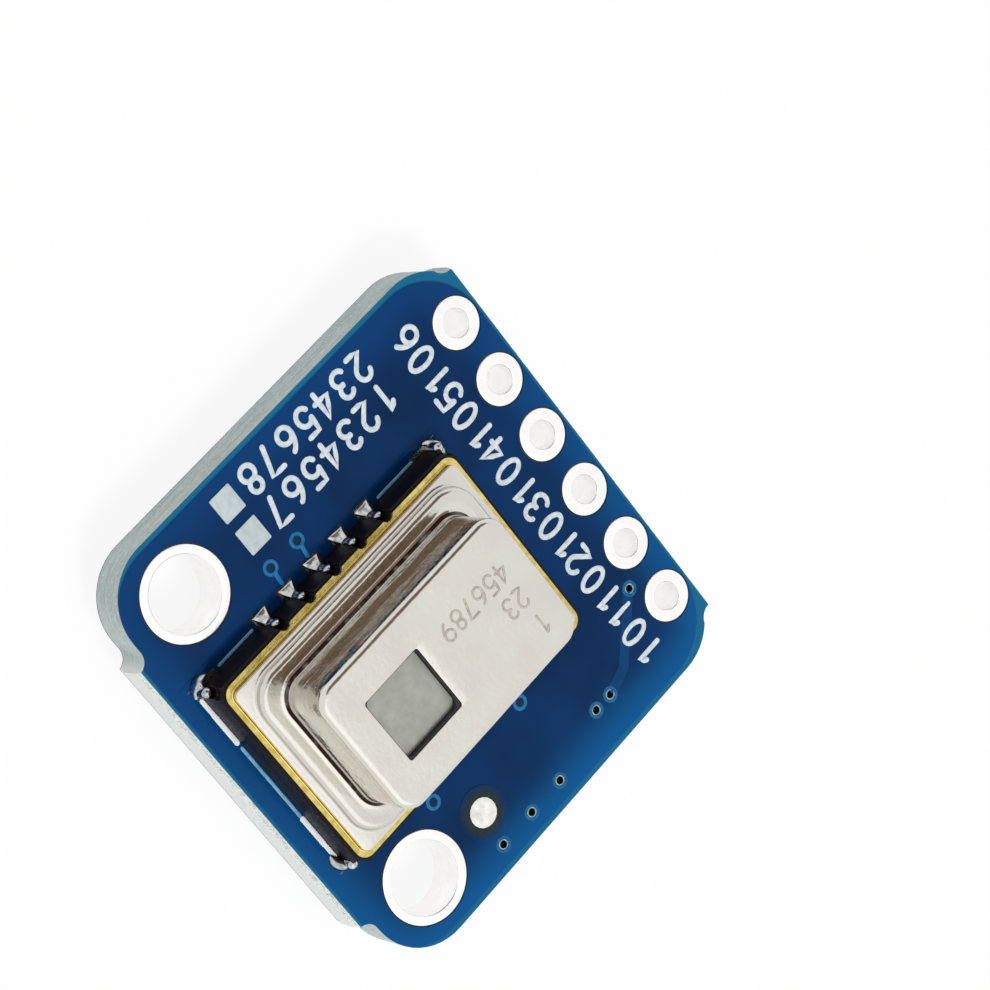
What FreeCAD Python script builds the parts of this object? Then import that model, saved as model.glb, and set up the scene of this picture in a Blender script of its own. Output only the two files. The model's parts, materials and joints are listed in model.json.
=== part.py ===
import FreeCAD
import Part
import Sketcher
import math
import os

# Infrared array sensor on its breakout board, with the parts on the board's underside.
# X runs across the board, +Y points to the row of header holes, +Z is up.
# The origin is below the middle of the board, on the surface that the underside packages stand on.

doc = FreeCAD.newDocument("InfraredArrayModule")
sheet = doc.addObject("Spreadsheet::Sheet", "Dims")

SIZES = [
    ("board_width", 17.7, "board across its routed sides"),
    ("board_length", 17.35, "board from the header edge to the end of the break-off tab"),
    ("board_thickness", 1.6, "glass-epoxy laminate"),
    ("corner_radius", 2.2, "routed outer corners"),
    ("tab_depth", 0.5, "break-off tab beyond the routed far edge"),
    ("tab_left_inset", 3.04, "tab from the left side"),
    ("tab_right_inset", 2.81, "tab from the right side"),
    ("tip_inset", 1.03, "tips left by the router at the scored header edge, from each side"),
    ("tip_radius", 0.6, "hollow between a tip and its corner"),
    ("score_width", 0.08, "slope of the score line, across"),
    ("score_depth", 0.4, "slope of the score line, down"),
    ("mask_thickness", 0.03, "solder mask"),
    ("mask_gap", 0.06, "bare ring between a land and the mask"),
    ("copper", 0.04, "plated copper above the laminate"),
    ("header_pitch", 2.54, "header holes"),
    ("header_inset", 1.15, "header row from its edge"),
    ("header_hole_radius", 0.5, "finished header hole"),
    ("header_land_radius", 0.91, "header land"),
    ("barrel_wall", 0.05, "plating inside a hole"),
    ("mounting_side_inset", 2.25, "mounting holes from the board's sides"),
    ("mounting_inset", 2.87, "mounting holes from the end of the tab"),
    ("mounting_hole_radius", 1.3, "finished mounting hole"),
    ("mounting_land_radius", 1.62, "mounting land"),
    ("via_hole_radius", 0.15, "finished via"),
    ("inner_via_across", 5.09, "via beside the header row"),
    ("inner_via_drop", 0.96, "the same via below the header row"),
    ("pair_via_inset", 1.59, "two vias from the right side"),
    ("pair_via_drop", 3.97, "first of the two below the header row"),
    ("pair_via_pitch", 0.77, "between the two"),
    ("edge_via_inset", 0.85, "three vias from the right side"),
    ("edge_via_drop", 7.4, "first of the three below the header row"),
    ("edge_via_pitch", 1.52, "between the three"),
    ("fiducial_radius", 0.53, "alignment dot"),
    ("fiducial_clearance", 0.97, "mask opening around the dot"),
    ("fiducial_inset", 2.23, "dot from the right side"),
    ("fiducial_rise", 3.05, "dot above the row of mounting holes"),
    ("sensor_drop", 9.33, "middle of the sensor below the header row"),
    ("base_height", 1.2, "sensor base above its pads"),
    ("terminal_pitch", 1.27, "side terminals"),
    ("notch_radius", 0.25, "half-round notch of a side terminal"),
    ("corner_notch_radius", 0.3, "quarter-round notch of a corner terminal"),
    ("plating", 0.03, "metal on the base's notches and lower face"),
    ("plated_height", 0.95, "plating up a notch"),
    ("terminal_reach", 0.9, "terminal pad under the base"),
    ("land_width", 0.62, "land of a side terminal"),
    ("land_reach", 0.35, "land beyond the base"),
    ("solder_film", 0.03, "solder under a terminal"),
    ("solder_height", 0.82, "solder up a notch"),
    ("solder_hollow", 0.1, "hollow face of a side joint: its radius beyond the joint's height"),
    ("corner_solder_foot", 0.38, "corner solder at the board"),
    ("corner_solder_top", 0.14, "corner solder at its top"),
    ("base_side", 0.11, "sensor base beyond the seal ring, at each side"),
    ("base_end", 0.125, "sensor base beyond the seal ring, at each end"),
    ("ring_side", 0.24, "seal ring beyond the cap's flange, at each side"),
    ("ring_end", 0.2, "seal ring beyond the cap's flange, at each end"),
    ("ring_radius", 0.45, "seal ring corners"),
    ("ring_band", 0.8, "seal ring from outside to inside"),
    ("ring_thickness", 0.1, "seal ring"),
    ("cap_sheet", 0.22, "drawn sheet of the cap"),
    ("flange_side", 0.21, "cap flange beyond the lower tier, at each side"),
    ("flange_end", 0.275, "cap flange beyond the lower tier, at each end"),
    ("flange_radius", 0.3, "cap flange corners"),
    ("shoulder_width", 6.88, "lower tier of the cap, across"),
    ("shoulder_radius", 1.15, "lower tier corners, seen from above"),
    ("shoulder_height", 0.6, "lower tier above the seal ring"),
    ("shoulder_bend", 0.25, "rounded edge of the lower tier"),
    ("tower_length", 8.86, "upper tier of the cap, along"),
    ("tier_step", 0.77, "lower tier beyond the upper one, all round"),
    ("tower_radius", 0.8, "upper tier corners, seen from above"),
    ("tower_bend", 0.2, "rounded edge of the cap's top"),
    ("crease_bend", 0.1, "hollow bends at the foot of each tier"),
    ("cap_height", 2.9, "top of the cap above the seal ring"),
    ("window_size", 2.56, "square window in the cap"),
    ("window_radius", 0.1, "window corners"),
    ("window_inset", 2.54, "middle of the window from the end of the upper tier"),
    ("lens_size", 3.4, "silicon lens plate"),
    ("lens_thickness", 0.4, "silicon lens plate at its rim"),
    ("lens_bulge", 0.3, "curved inner face of the lens"),
    ("lens_bulge_radius", 1.3, "rim of the curved face"),
    ("bond_thickness", 0.04, "bond between the cap and the lens"),
    ("bond_band", 0.48, "bond from the edge of the lens to its clear opening"),
    ("chip_height", 0.4, "silicon chips"),
    ("detector_size", 3.0, "detector chip"),
    ("amplifier_width", 3.2, "amplifier chip"),
    ("amplifier_length", 2.4, "amplifier chip"),
    ("chip_gap", 0.5, "between the two chips"),
    ("wire_size", 0.05, "bond wires"),
    ("wire_pitch", 0.4, "bond wires"),
    ("wire_height", 0.25, "bond wires above the chips"),
    ("wire_landing", 0.15, "bond wires on each chip"),
    ("package_length", 2.92, "small moulded package"),
    ("package_width", 1.6, "small moulded package"),
    ("package_height", 1.1, "small moulded package above the lands"),
    ("package_standoff", 0.1, "between the package and the lands"),
    ("package_draft", 7.0, "draft of the moulded sides, in degrees"),
    ("lead_pitch", 0.95, "package leads"),
    ("lead_width", 0.4, "package leads"),
    ("lead_thickness", 0.13, "package leads"),
    ("lead_span", 2.8, "package over its leads"),
    ("lead_foot", 0.4, "flat foot of a lead"),
    ("regulator_drop", 3.95, "regulator below the header row"),
    ("transistor_across", 3.2, "transistors from the middle"),
    ("lower_row_drop", 12.3, "transistors below the header row"),
    ("chip_length", 1.6, "chip resistors and capacitors"),
    ("chip_width", 0.8, "chip resistors and capacitors"),
    ("chip_cap", 0.3, "metal end of a chip component"),
    ("chip_cap_wall", 0.03, "metal end of a chip component"),
    ("resistor_thickness", 0.45, "chip resistor"),
    ("capacitor_thickness", 0.8, "chip capacitor"),
    ("resistor_pitch", 3.0, "between the resistors"),
    ("resistor_drop", 8.1, "row of resistors below the header row"),
    ("capacitor_across", 3.9, "capacitors beside the regulator"),
    ("fillet_reach", 0.35, "solder beyond an end or a foot"),
    ("fillet_climb", 0.6, "solder up the end of a chip component, as a share of its thickness"),
    ("fillet_waist", 0.33, "hollow of the underside solder, as a share of its reach and its climb"),
]
for row, (alias, value, note) in enumerate(SIZES, start=1):
    sheet.set(f"A{row}", note)
    sheet.set(f"B{row}", str(value))
    sheet.setAlias(f"B{row}", alias)
doc.recompute()

# Places worked out from the sizes above.
UNDERSIDE = "(Dims.package_height + Dims.copper)"
TOP_FACE = f"({UNDERSIDE} + Dims.board_thickness)"
HALF_WIDTH = "Dims.board_width / 2"
HALF_LENGTH = "Dims.board_length / 2"
HEADER_ROW = f"({HALF_LENGTH} - Dims.header_inset)"
MOUNTING_ROW = f"(Dims.mounting_inset - {HALF_LENGTH})"
MOUNTING_ACROSS = f"({HALF_WIDTH} - Dims.mounting_side_inset)"
SENSOR_ROW = f"({HEADER_ROW} - Dims.sensor_drop)"
SHOULDER_WIDTH = "Dims.shoulder_width"
SHOULDER_LENGTH = "(Dims.tower_length + 2 * Dims.tier_step)"
TOWER_WIDTH = "(Dims.shoulder_width - 2 * Dims.tier_step)"
TOWER_LENGTH = "Dims.tower_length"
FLANGE_WIDTH = f"({SHOULDER_WIDTH} + 2 * Dims.flange_side)"
FLANGE_LENGTH = f"({SHOULDER_LENGTH} + 2 * Dims.flange_end)"
RING_WIDTH = f"({FLANGE_WIDTH} + 2 * Dims.ring_side)"
RING_LENGTH = f"({FLANGE_LENGTH} + 2 * Dims.ring_end)"
BASE_WIDTH = f"({RING_WIDTH} + 2 * Dims.base_side)"
BASE_LENGTH = f"({RING_LENGTH} + 2 * Dims.base_end)"
LAND_TOP = f"({TOP_FACE} + Dims.copper)"
BASE_LIFT = "(Dims.solder_film + Dims.plating)"
BASE_TOP = f"({LAND_TOP} + {BASE_LIFT} + Dims.base_height)"
CAP_SEAT = f"({BASE_TOP} + Dims.ring_thickness)"
WINDOW_OFFSET = f"({TOWER_LENGTH} / 2 - Dims.window_inset)"
WINDOW_ROW = f"({SENSOR_ROW} - {WINDOW_OFFSET})"
LENS_TOP = f"({CAP_SEAT} + Dims.cap_height - Dims.cap_sheet - Dims.bond_thickness)"
FIDUCIAL = (f"({HALF_WIDTH} - Dims.fiducial_inset)", f"({MOUNTING_ROW} + Dims.fiducial_rise)")
HEADER_HOLES = 6
SIDE_TERMINALS = 5
WIRES = 6
RESISTOR_COUNT = 4
ROUND_SIDES = 18
SMALL_ROUND_SIDES = 12
VIA_SIDES = 8
NEAR = 1e-3
UPRIGHT = FreeCAD.Vector(0, 0, 1)
EXPORTED = []


def size(expression):
    """Value of an expression on the sheet's cells, in millimetres or degrees."""
    return float(sheet.evalExpression(expression))


def place(thing, across="0", along="0", height="0", turn=0):
    """Bind a thing's place to the sheet; turn is in degrees about the upright axis."""
    thing.Placement = FreeCAD.Placement(FreeCAD.Vector(), FreeCAD.Rotation(UPRIGHT, turn))
    thing.setExpression("Placement.Base.x", across)
    thing.setExpression("Placement.Base.y", along)
    thing.setExpression("Placement.Base.z", height)


def export(thing, label):
    """Name a finished piece and list it for writing."""
    thing.Label = label
    EXPORTED.append(thing)
    return thing


def new_body(name):
    return doc.addObject("PartDesign::Body", name)


def new_sketch(body, name, role="XY_Plane", lift=None):
    """Sketch on one of the body's own planes, lifted off it where asked."""
    sketch = body.newObject("Sketcher::SketchObject", name)
    plane = next(item for item in body.Origin.OriginFeatures if item.Role == role)
    sketch.AttachmentSupport = [(plane, "")]
    sketch.MapMode = "FlatFace"
    if lift is not None:
        sketch.setExpression("AttachmentOffset.Base.z", lift)
    return sketch


def constrain(sketch, rows):
    """Add constraints; a row is a constraint and the expression that drives it, or None."""
    indices = sketch.addConstraint([row[0] for row in rows])
    for index, (_, expression) in zip(indices, rows):
        if expression is not None:
            sketch.setExpression(f"Constraints[{index}]", expression)


def pinned(geometry, position, across, along):
    """Rows that hold one point of a sketch at its two distances from the origin."""
    return [
        (Sketcher.Constraint("DistanceX", -1, 1, geometry, position, size(across)), across),
        (Sketcher.Constraint("DistanceY", -1, 1, geometry, position, size(along)), along),
    ]


def circle(sketch, radius, across="0", along="0"):
    centre = FreeCAD.Vector(size(across), size(along), 0)
    index = sketch.addGeometry(Part.Circle(centre, UPRIGHT, size(radius)))
    bound = [(Sketcher.Constraint("Radius", index, size(radius)), radius)]
    constrain(sketch, bound + pinned(index, 3, across, along))


def arc_between(start, end, radius, bulge):
    """Short arc between two points; bulge is 1 where it turns left on the way and -1 where right."""
    chord = end - start
    reach = math.sqrt(max(radius * radius - chord.Length * chord.Length / 4, 0.0))
    left = FreeCAD.Vector(-chord.y, chord.x, 0).normalize()
    centre = (start + end) * 0.5 + left * (reach * bulge)
    first, last = (start, end) if bulge > 0 else (end, start)
    angles = [math.atan2(point.y - centre.y, point.x - centre.x) for point in (first, last)]
    if angles[1] < angles[0]:
        angles[1] += 2 * math.pi
    return Part.ArcOfCircle(Part.Circle(centre, UPRIGHT, radius), *angles)


def outline(sketch, corners):
    """Closed profile. A corner is (across, along), and has (radius, bulge) too where an arc leaves it."""
    points = [FreeCAD.Vector(size(corner[0]), size(corner[1]), 0) for corner in corners]
    edges = []
    rows = []
    for corner, start, end in zip(corners, points, points[1:] + points[:1]):
        if len(corner) == 2:
            edges.append((sketch.addGeometry(Part.LineSegment(start, end)), 1, 2))
            continue
        radius, bulge = corner[2:]
        index = sketch.addGeometry(arc_between(start, end, size(radius), bulge))
        rows.append((Sketcher.Constraint("Radius", index, size(radius)), radius))
        edges.append((index, 1, 2) if bulge > 0 else (index, 2, 1))
    for corner, edge, following in zip(corners, edges, edges[1:] + edges[:1]):
        joined = Sketcher.Constraint("Coincident", edge[0], edge[2], following[0], following[1])
        rows.append((joined, None))
        rows += pinned(edge[0], edge[1], corner[0], corner[1])
    constrain(sketch, rows)


def rectangle(sketch, width, length, across="0", along="0"):
    right, left = (f"({across} {sign} ({width}) / 2)" for sign in "+-")
    top, bottom = (f"({along} {sign} ({length}) / 2)" for sign in "+-")
    outline(sketch, [(left, bottom), (right, bottom), (right, top), (left, top)])


def rounded_rectangle(sketch, width, length, radius, across="0", along="0"):
    right, left = (f"({across} {sign} ({width}) / 2)" for sign in "+-")
    top, bottom = (f"({along} {sign} ({length}) / 2)" for sign in "+-")
    outline(sketch, [
        (f"{left} + {radius}", bottom), (f"{right} - {radius}", bottom, radius, 1),
        (right, f"{bottom} + {radius}"), (right, f"{top} - {radius}", radius, 1),
        (f"{right} - {radius}", top), (f"{left} + {radius}", top, radius, 1),
        (left, f"{top} - {radius}"), (left, f"{bottom} + {radius}", radius, 1),
    ])


def pad(body, sketch, name, length, both_ways=False):
    feature = body.newObject("PartDesign::Pad", name)
    feature.Profile = sketch
    feature.setExpression("Length", length)
    if both_ways:
        feature.SideType = "Symmetric"
    return feature


def pocket(body, sketch, name, depth=None, sideways=False):
    """Cut towards the sketch's normal, to a depth or through all, and test that it removed material."""
    doc.recompute()
    before = body.Shape.Volume
    feature = body.newObject("PartDesign::Pocket", name)
    feature.Profile = sketch
    feature.Reversed = True
    if sideways:
        feature.SideType = "Symmetric"
    if depth is None:
        feature.Type = "ThroughAll"
    else:
        feature.setExpression("Length", depth)
    doc.recompute()
    if body.Shape.Volume >= before:
        raise RuntimeError(f"{name} removed nothing")
    return feature


def revolve(body, sketch, name):
    """Turn a half section about the sketch's upright axis."""
    feature = body.newObject("PartDesign::Revolution", name)
    feature.Profile = sketch
    feature.ReferenceAxis = (sketch, ["V_Axis"])
    feature.Angle = 360
    return feature


def bend(body, name, level, radius, loop, inner=True, kind="Fillet"):
    """Round or bevel the edges at one level, inside a loop of the given half sizes or beyond it."""
    doc.recompute()
    rounded = body.Tip
    half_width, half_length = (size(half) + NEAR for half in loop)
    chosen = []
    for number, edge in enumerate(body.Shape.Edges, start=1):
        heights = edge.BoundBox
        if max(abs(heights.ZMin - size(level)), abs(heights.ZMax - size(level))) > NEAR:
            continue
        middle = edge.CenterOfMass
        if (abs(middle.x) < half_width and abs(middle.y) < half_length) == inner:
            chosen.append(f"Edge{number}")
    feature = body.newObject(f"PartDesign::{kind}", name)
    feature.Base = (rounded, chosen)
    feature.setExpression("Radius" if kind == "Fillet" else "Size", radius)
    doc.recompute()


def box(name, width, length, height, across="0", along="0", level="0"):
    """Plain block, centred across and along, standing on its level."""
    block = doc.addObject("Part::Box", name)
    block.setExpression("Length", width)
    block.setExpression("Width", length)
    block.setExpression("Height", height)
    place(block, f"{across} - ({width}) / 2", f"{along} - ({length}) / 2", level)
    return block


def prism(name, radius, height, across="0", along="0", level="0", sides=SMALL_ROUND_SIDES):
    """Upright column with equal sides, for what is too small to need a true circle."""
    column = doc.addObject("Part::Prism", name)
    column.Polygon = sides
    column.setExpression("Circumradius", radius)
    column.setExpression("Height", height)
    place(column, across, along, level)
    return column


def tube(name, radius, wall, height, across="0", along="0", level="0", sides=SMALL_ROUND_SIDES):
    """Many-sided tube, given by its inner radius."""
    outside = prism(f"{name}_outside", f"{radius} + {wall}", height, across, along, level, sides)
    inside = prism(f"{name}_inside", radius, height, across, along, level, sides)
    return cut(name, outside, inside)


def cut(name, base, tool):
    result = doc.addObject("Part::Cut", name)
    result.Base = base
    result.Tool = tool
    return result


def group(kind, name, pieces):
    """Fuse, Common or Compound of several pieces."""
    result = doc.addObject(kind, name)
    if kind == "Part::Compound":
        result.Links = pieces
    else:
        result.Shapes = pieces
    return result


def copy_of(name, template, across, along, height, turn):
    """One more of a template, at its own place."""
    result = group("Part::Compound", name, [template])
    place(result, across, along, height, turn)
    return result


# Circuit board: routed sides, scored header edge and tab, drilled holes.

def board_outline(sketch):
    """Board seen from above: tips at the header edge, round corners and the break-off tab."""
    side = HALF_WIDTH
    radius = "Dims.corner_radius"
    routed_far = f"(Dims.tab_depth - {HALF_LENGTH})"
    diagonal = f"{radius} * (1 - sqrt(0.5))"
    outline(sketch, [
        (f"Dims.tab_left_inset - {side}", f"-{HALF_LENGTH}"),
        (f"{side} - Dims.tab_right_inset", f"-{HALF_LENGTH}", "Dims.tab_depth", -1),
        (f"{side} - Dims.tab_right_inset + Dims.tab_depth", routed_far),
        (f"{side} - {radius}", routed_far, radius, 1),
        (side, f"{routed_far} + {radius}"),
        (side, f"{HALF_LENGTH} - {radius}", radius, 1),
        (f"{side} - {diagonal}", f"{HALF_LENGTH} - {diagonal}", "Dims.tip_radius", -1),
        (f"{side} - Dims.tip_inset", HALF_LENGTH),
        (f"Dims.tip_inset - {side}", HALF_LENGTH, "Dims.tip_radius", -1),
        (f"{diagonal} - {side}", f"{HALF_LENGTH} - {diagonal}", radius, 1),
        (f"-{side}", f"{HALF_LENGTH} - {radius}"),
        (f"-{side}", f"{routed_far} + {radius}", radius, 1),
        (f"{radius} - {side}", routed_far),
        (f"Dims.tab_left_inset - {side} - Dims.tab_depth", routed_far, "Dims.tab_depth", -1),
    ])


def header_places():
    """Middles of the header holes, from left to right."""
    return [(f"Dims.header_pitch * {step}", HEADER_ROW) for step in centred(HEADER_HOLES)]


def centred(count):
    """Steps that lie evenly about the middle, such as -0.5 and 0.5."""
    return [k - (count - 1) / 2 for k in range(count)]


def mounting_places():
    return [(f"{sign}{MOUNTING_ACROSS}", MOUNTING_ROW) for sign in ("-", "")]


def via_places():
    """Middles of the open vias: one by the header, then two and three along the right side."""
    places = [("Dims.inner_via_across", f"{HEADER_ROW} - Dims.inner_via_drop")]
    for kind, count in (("pair", 2), ("edge", 3)):
        for step in range(count):
            along = f"{HEADER_ROW} - Dims.{kind}_via_drop - Dims.{kind}_via_pitch * {step}"
            places.append((f"{HALF_WIDTH} - Dims.{kind}_via_inset", along))
    return places


def terminal_places():
    """Edge points of the sensor's terminals, each with the turn that points its X axis inwards."""
    side = f"{BASE_WIDTH} / 2"
    places = []
    for sign, turn in ((-1, 0), (1, 180)):
        for step in centred(SIDE_TERMINALS):
            along = f"{SENSOR_ROW} + Dims.terminal_pitch * {step}"
            places.append((f"{side} * {sign}", along, turn))
    return places


def corner_places():
    """Corners of the sensor base, each with the turn that points its X and Y axes inwards."""
    return [
        (f"{BASE_WIDTH} / 2 * {x}", f"{SENSOR_ROW} + {BASE_LENGTH} / 2 * {y}", turn)
        for x, y, turn in ((-1, -1, 0), (1, -1, 90), (1, 1, 180), (-1, 1, 270))
    ]


def via_holes(name, height, level):
    """Columns that cut the vias' holes through a layer of the board."""
    holes = []
    for number, (across, along) in enumerate(via_places(), start=1):
        radius = "Dims.via_hole_radius + Dims.barrel_wall"
        holes.append(prism(f"{name}_via_{number}", radius, height, across, along, level, VIA_SIDES))
    return holes


def circuit_board():
    body = new_body("board_blank")
    laminate = new_sketch(body, "laminate_outline")
    board_outline(laminate)
    pad(body, laminate, "laminate", "Dims.board_thickness")
    drilling = new_sketch(body, "drilling")
    for across, along in mounting_places():
        circle(drilling, "Dims.mounting_hole_radius + Dims.barrel_wall", across, along)
    pocket(body, drilling, "drilled_holes")
    scoring = new_sketch(body, "scoring", role="YZ_Plane")
    for sign in ("", "-"):
        edge = f"{sign}{HALF_LENGTH}"
        slope = f"{sign}({HALF_LENGTH} - Dims.score_width)"
        for face, down in (("Dims.board_thickness", "-"), ("0", "+")):
            outline(scoring, [(edge, face), (slope, face), (edge, f"{face} {down} Dims.score_depth")])
    pocket(body, scoring, "score_lines", sideways=True)
    place(body, height=UNDERSIDE)
    columns = via_holes("board", "Dims.board_thickness", UNDERSIDE)
    for number, (across, along) in enumerate(header_places(), start=1):
        radius = "Dims.header_hole_radius + Dims.barrel_wall"
        name = f"header_hole_{number}"
        columns.append(prism(name, radius, "Dims.board_thickness", across, along, UNDERSIDE, ROUND_SIDES))
    holes = group("Part::Compound", "board_small_holes", columns)
    export(cut("circuit_board", body, holes), "circuit_board")


def solder_mask(label, level, openings, more_openings=()):
    """Thin coat on one face, trimmed at the score lines and open over every land."""
    body = new_body(f"{label}_coat")
    coat = new_sketch(body, f"{label}_outline")
    board_outline(coat)
    pad(body, coat, f"{label}_film", "Dims.mask_thickness")
    trim = new_sketch(body, f"{label}_trim")
    for sign in ("", "-"):
        rectangle(trim, "Dims.board_width", "Dims.score_width * 2", "0", f"{sign}{HALF_LENGTH}")
    pocket(body, trim, f"{label}_trimmed")
    lands = new_sketch(body, f"{label}_land_openings")
    openings(lands)
    pocket(body, lands, f"{label}_lands")
    place(body, height=level)
    rounds = [("Dims.header_land_radius + Dims.mask_gap", *spot) for spot in header_places()]
    rounds += [("Dims.mounting_land_radius + Dims.mask_gap", *spot) for spot in mounting_places()]
    rounds += more_openings
    columns = via_holes(label, "Dims.mask_thickness", level)
    for number, (radius, across, along) in enumerate(rounds, start=1):
        opening = f"{label}_opening_{number}"
        columns.append(prism(opening, radius, "Dims.mask_thickness", across, along, level, ROUND_SIDES))
    holes = group("Part::Compound", f"{label}_openings", columns)
    export(cut(label, body, holes), label)


def sensor_openings(sketch):
    """Mask openings over the sensor's lands."""
    for across, along, turn in terminal_places():
        inward = 1 if turn == 0 else -1
        middle = f"{across} + {inward} * (Dims.terminal_reach - Dims.land_reach) / 2"
        width = "Dims.terminal_reach + Dims.land_reach + Dims.mask_gap * 2"
        rectangle(sketch, width, "Dims.land_width + Dims.mask_gap * 2", middle, along)
    span = "Dims.terminal_reach + Dims.land_reach + Dims.mask_gap * 2"
    shift = "(Dims.terminal_reach - Dims.land_reach) / 2"
    for across, along, turn in corner_places():
        x = 1 if turn in (0, 270) else -1
        y = 1 if turn in (0, 90) else -1
        rectangle(sketch, span, span, f"{across} + {x} * {shift}", f"{along} + {y} * {shift}")


# Plated holes: a barrel with a land on each face. The large ones are turned from one half section.

def turned_eyelet(label, hole, land, across, along):
    body = new_body(label)
    section = new_sketch(body, f"{label}_section", role="XZ_Plane")
    barrel = f"({hole} + Dims.barrel_wall)"
    over = "Dims.board_thickness + Dims.copper"
    outline(section, [
        (hole, "-Dims.copper"), (land, "-Dims.copper"), (land, "0"), (barrel, "0"),
        (barrel, "Dims.board_thickness"), (land, "Dims.board_thickness"), (land, over), (hole, over),
    ])
    revolve(body, section, f"{label}_turned")
    place(body, across, along, UNDERSIDE)
    return body


def small_eyelet(label, hole, land, across, along):
    """The same eyelet with many flat sides, for the row of header holes."""
    height = "Dims.board_thickness + 2 * Dims.copper"
    lower = f"{UNDERSIDE} - Dims.copper"
    barrel = prism(f"{label}_barrel", f"{hole} + Dims.barrel_wall", height, across, along, lower, ROUND_SIDES)
    lands = [
        prism(f"{label}_{face}_land", land, "Dims.copper", across, along, level, ROUND_SIDES)
        for face, level in (("lower", lower), ("upper", TOP_FACE))
    ]
    bore = prism(f"{label}_bore", hole, height, across, along, lower, ROUND_SIDES)
    return cut(label, group("Part::MultiFuse", f"{label}_blank", [barrel, *lands]), bore)


def plated_holes():
    for number, (across, along) in enumerate(header_places(), start=1):
        label = f"header_eyelet_{number}"
        eyelet = small_eyelet(label, "Dims.header_hole_radius", "Dims.header_land_radius", across, along)
        export(eyelet, label)
    for side, (across, along) in zip(("left", "right"), mounting_places()):
        label = f"mounting_eyelet_{side}"
        eyelet = turned_eyelet(label, "Dims.mounting_hole_radius", "Dims.mounting_land_radius", across, along)
        export(eyelet, label)
    barrels = []
    for number, (across, along) in enumerate(via_places(), start=1):
        height = "Dims.board_thickness + 2 * Dims.copper"
        level = f"{UNDERSIDE} - Dims.copper"
        radius, wall = "Dims.via_hole_radius", "Dims.barrel_wall"
        barrels.append(tube(f"via_{number}", radius, wall, height, across, along, level, VIA_SIDES))
    export(group("Part::Compound", "via_barrels", barrels), "via_barrels")


def fiducial_dot():
    dot = prism("fiducial_dot", "Dims.fiducial_radius", "Dims.copper", *FIDUCIAL, TOP_FACE, ROUND_SIDES)
    export(dot, "fiducial_dot")


# Sensor base with its notches, terminals and solder joints.

def notched(label, body, height, level):
    """Cut the notches of the sensor's terminals out of a layer of the sensor."""
    notches = []
    for kind, places, radius in (
        ("side", terminal_places(), "Dims.notch_radius"),
        ("corner", corner_places(), "Dims.corner_notch_radius"),
    ):
        for number, (across, along, _) in enumerate(places, start=1):
            notches.append(prism(f"{label}_{kind}_{number}", radius, height, across, along, level))
    return export(cut(label, body, group("Part::Compound", f"{label}_notches", notches)), label)


def sensor_base():
    level = f"({LAND_TOP} + {BASE_LIFT})"
    block = box("base_block", BASE_WIDTH, BASE_LENGTH, "Dims.base_height", "0", SENSOR_ROW, level)
    notched("sensor_base", block, "Dims.base_height", level)


def seal_ring():
    """Gold ring on the base, bitten by the same notches, that the cap is welded to."""
    body = new_body("ring_blank")
    band = new_sketch(body, "ring_outline")
    rounded_rectangle(band, RING_WIDTH, RING_LENGTH, "Dims.ring_radius")
    pad(body, band, "ring_plate", "Dims.ring_thickness")
    inside = new_sketch(body, "ring_inside")
    rectangle(inside, f"{RING_WIDTH} - 2 * Dims.ring_band", f"{RING_LENGTH} - 2 * Dims.ring_band")
    pocket(body, inside, "ring_opened")
    place(body, "0", SENSOR_ROW, BASE_TOP)
    notched("seal_ring", body, "Dims.ring_thickness", BASE_TOP)


def terminal(kind, notch, inward):
    """Lining of a notch with its pad under the base; inward is the pad's box, X (and Y) pointing inwards."""
    lining = tube(f"{kind}_lining", f"{notch} - Dims.plating", "Dims.plating", "Dims.plated_height")
    width, length, across, along = inward
    inside = box(f"{kind}_inside", width, length, "Dims.plated_height", across, along)
    half = group("Part::MultiCommon", f"{kind}_half_lining", [lining, inside])
    under = box(f"{kind}_pad", width, length, "Dims.plating", across, along)
    hollow = prism(f"{kind}_hollow", f"{notch} - Dims.plating", "Dims.plated_height")
    return group("Part::MultiFuse", f"{kind}_terminal", [half, cut(f"{kind}_open_pad", under, hollow)])


def side_solder():
    """Fan-shaped fillet that climbs the notch, and the film under the pad; X points inwards."""
    reach = "Dims.land_reach"
    half = "Dims.land_width / 2"
    inner = "(Dims.notch_radius - Dims.plating)"
    fan = new_body("solder_fan")
    fan_plan = new_sketch(fan, "solder_fan_plan")
    outline(fan_plan, [(f"-{reach}", f"-{half}"), ("0", f"-{inner}"), ("0", inner), (f"-{reach}", half)])
    pad(fan, fan_plan, "solder_fan_column", "Dims.plated_height")
    core = prism("solder_core", inner, "Dims.plated_height")
    plan = group("Part::MultiFuse", "solder_plan", [fan, core])
    climb = new_body("solder_climb")
    climb_side = new_sketch(climb, "solder_climb_side", role="XZ_Plane")
    lip = f"{inner} / 2"
    outline(climb_side, [
        (f"-{reach}", "0"), (inner, "0"), (inner, "Dims.solder_height"),
        (lip, "Dims.solder_height", "Dims.solder_height + Dims.solder_hollow", -1),
        (f"-{reach}", "Dims.solder_film"),
    ])
    pad(climb, climb_side, "solder_climb_slab", "Dims.land_width", both_ways=True)
    fillet = group("Part::MultiCommon", "side_fillet", [plan, climb])
    under = "Dims.terminal_reach"
    film = box("side_film", under, "Dims.land_width", "Dims.solder_film", f"{under} / 2")
    return group("Part::MultiFuse", "side_solder", [fillet, film])


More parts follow.
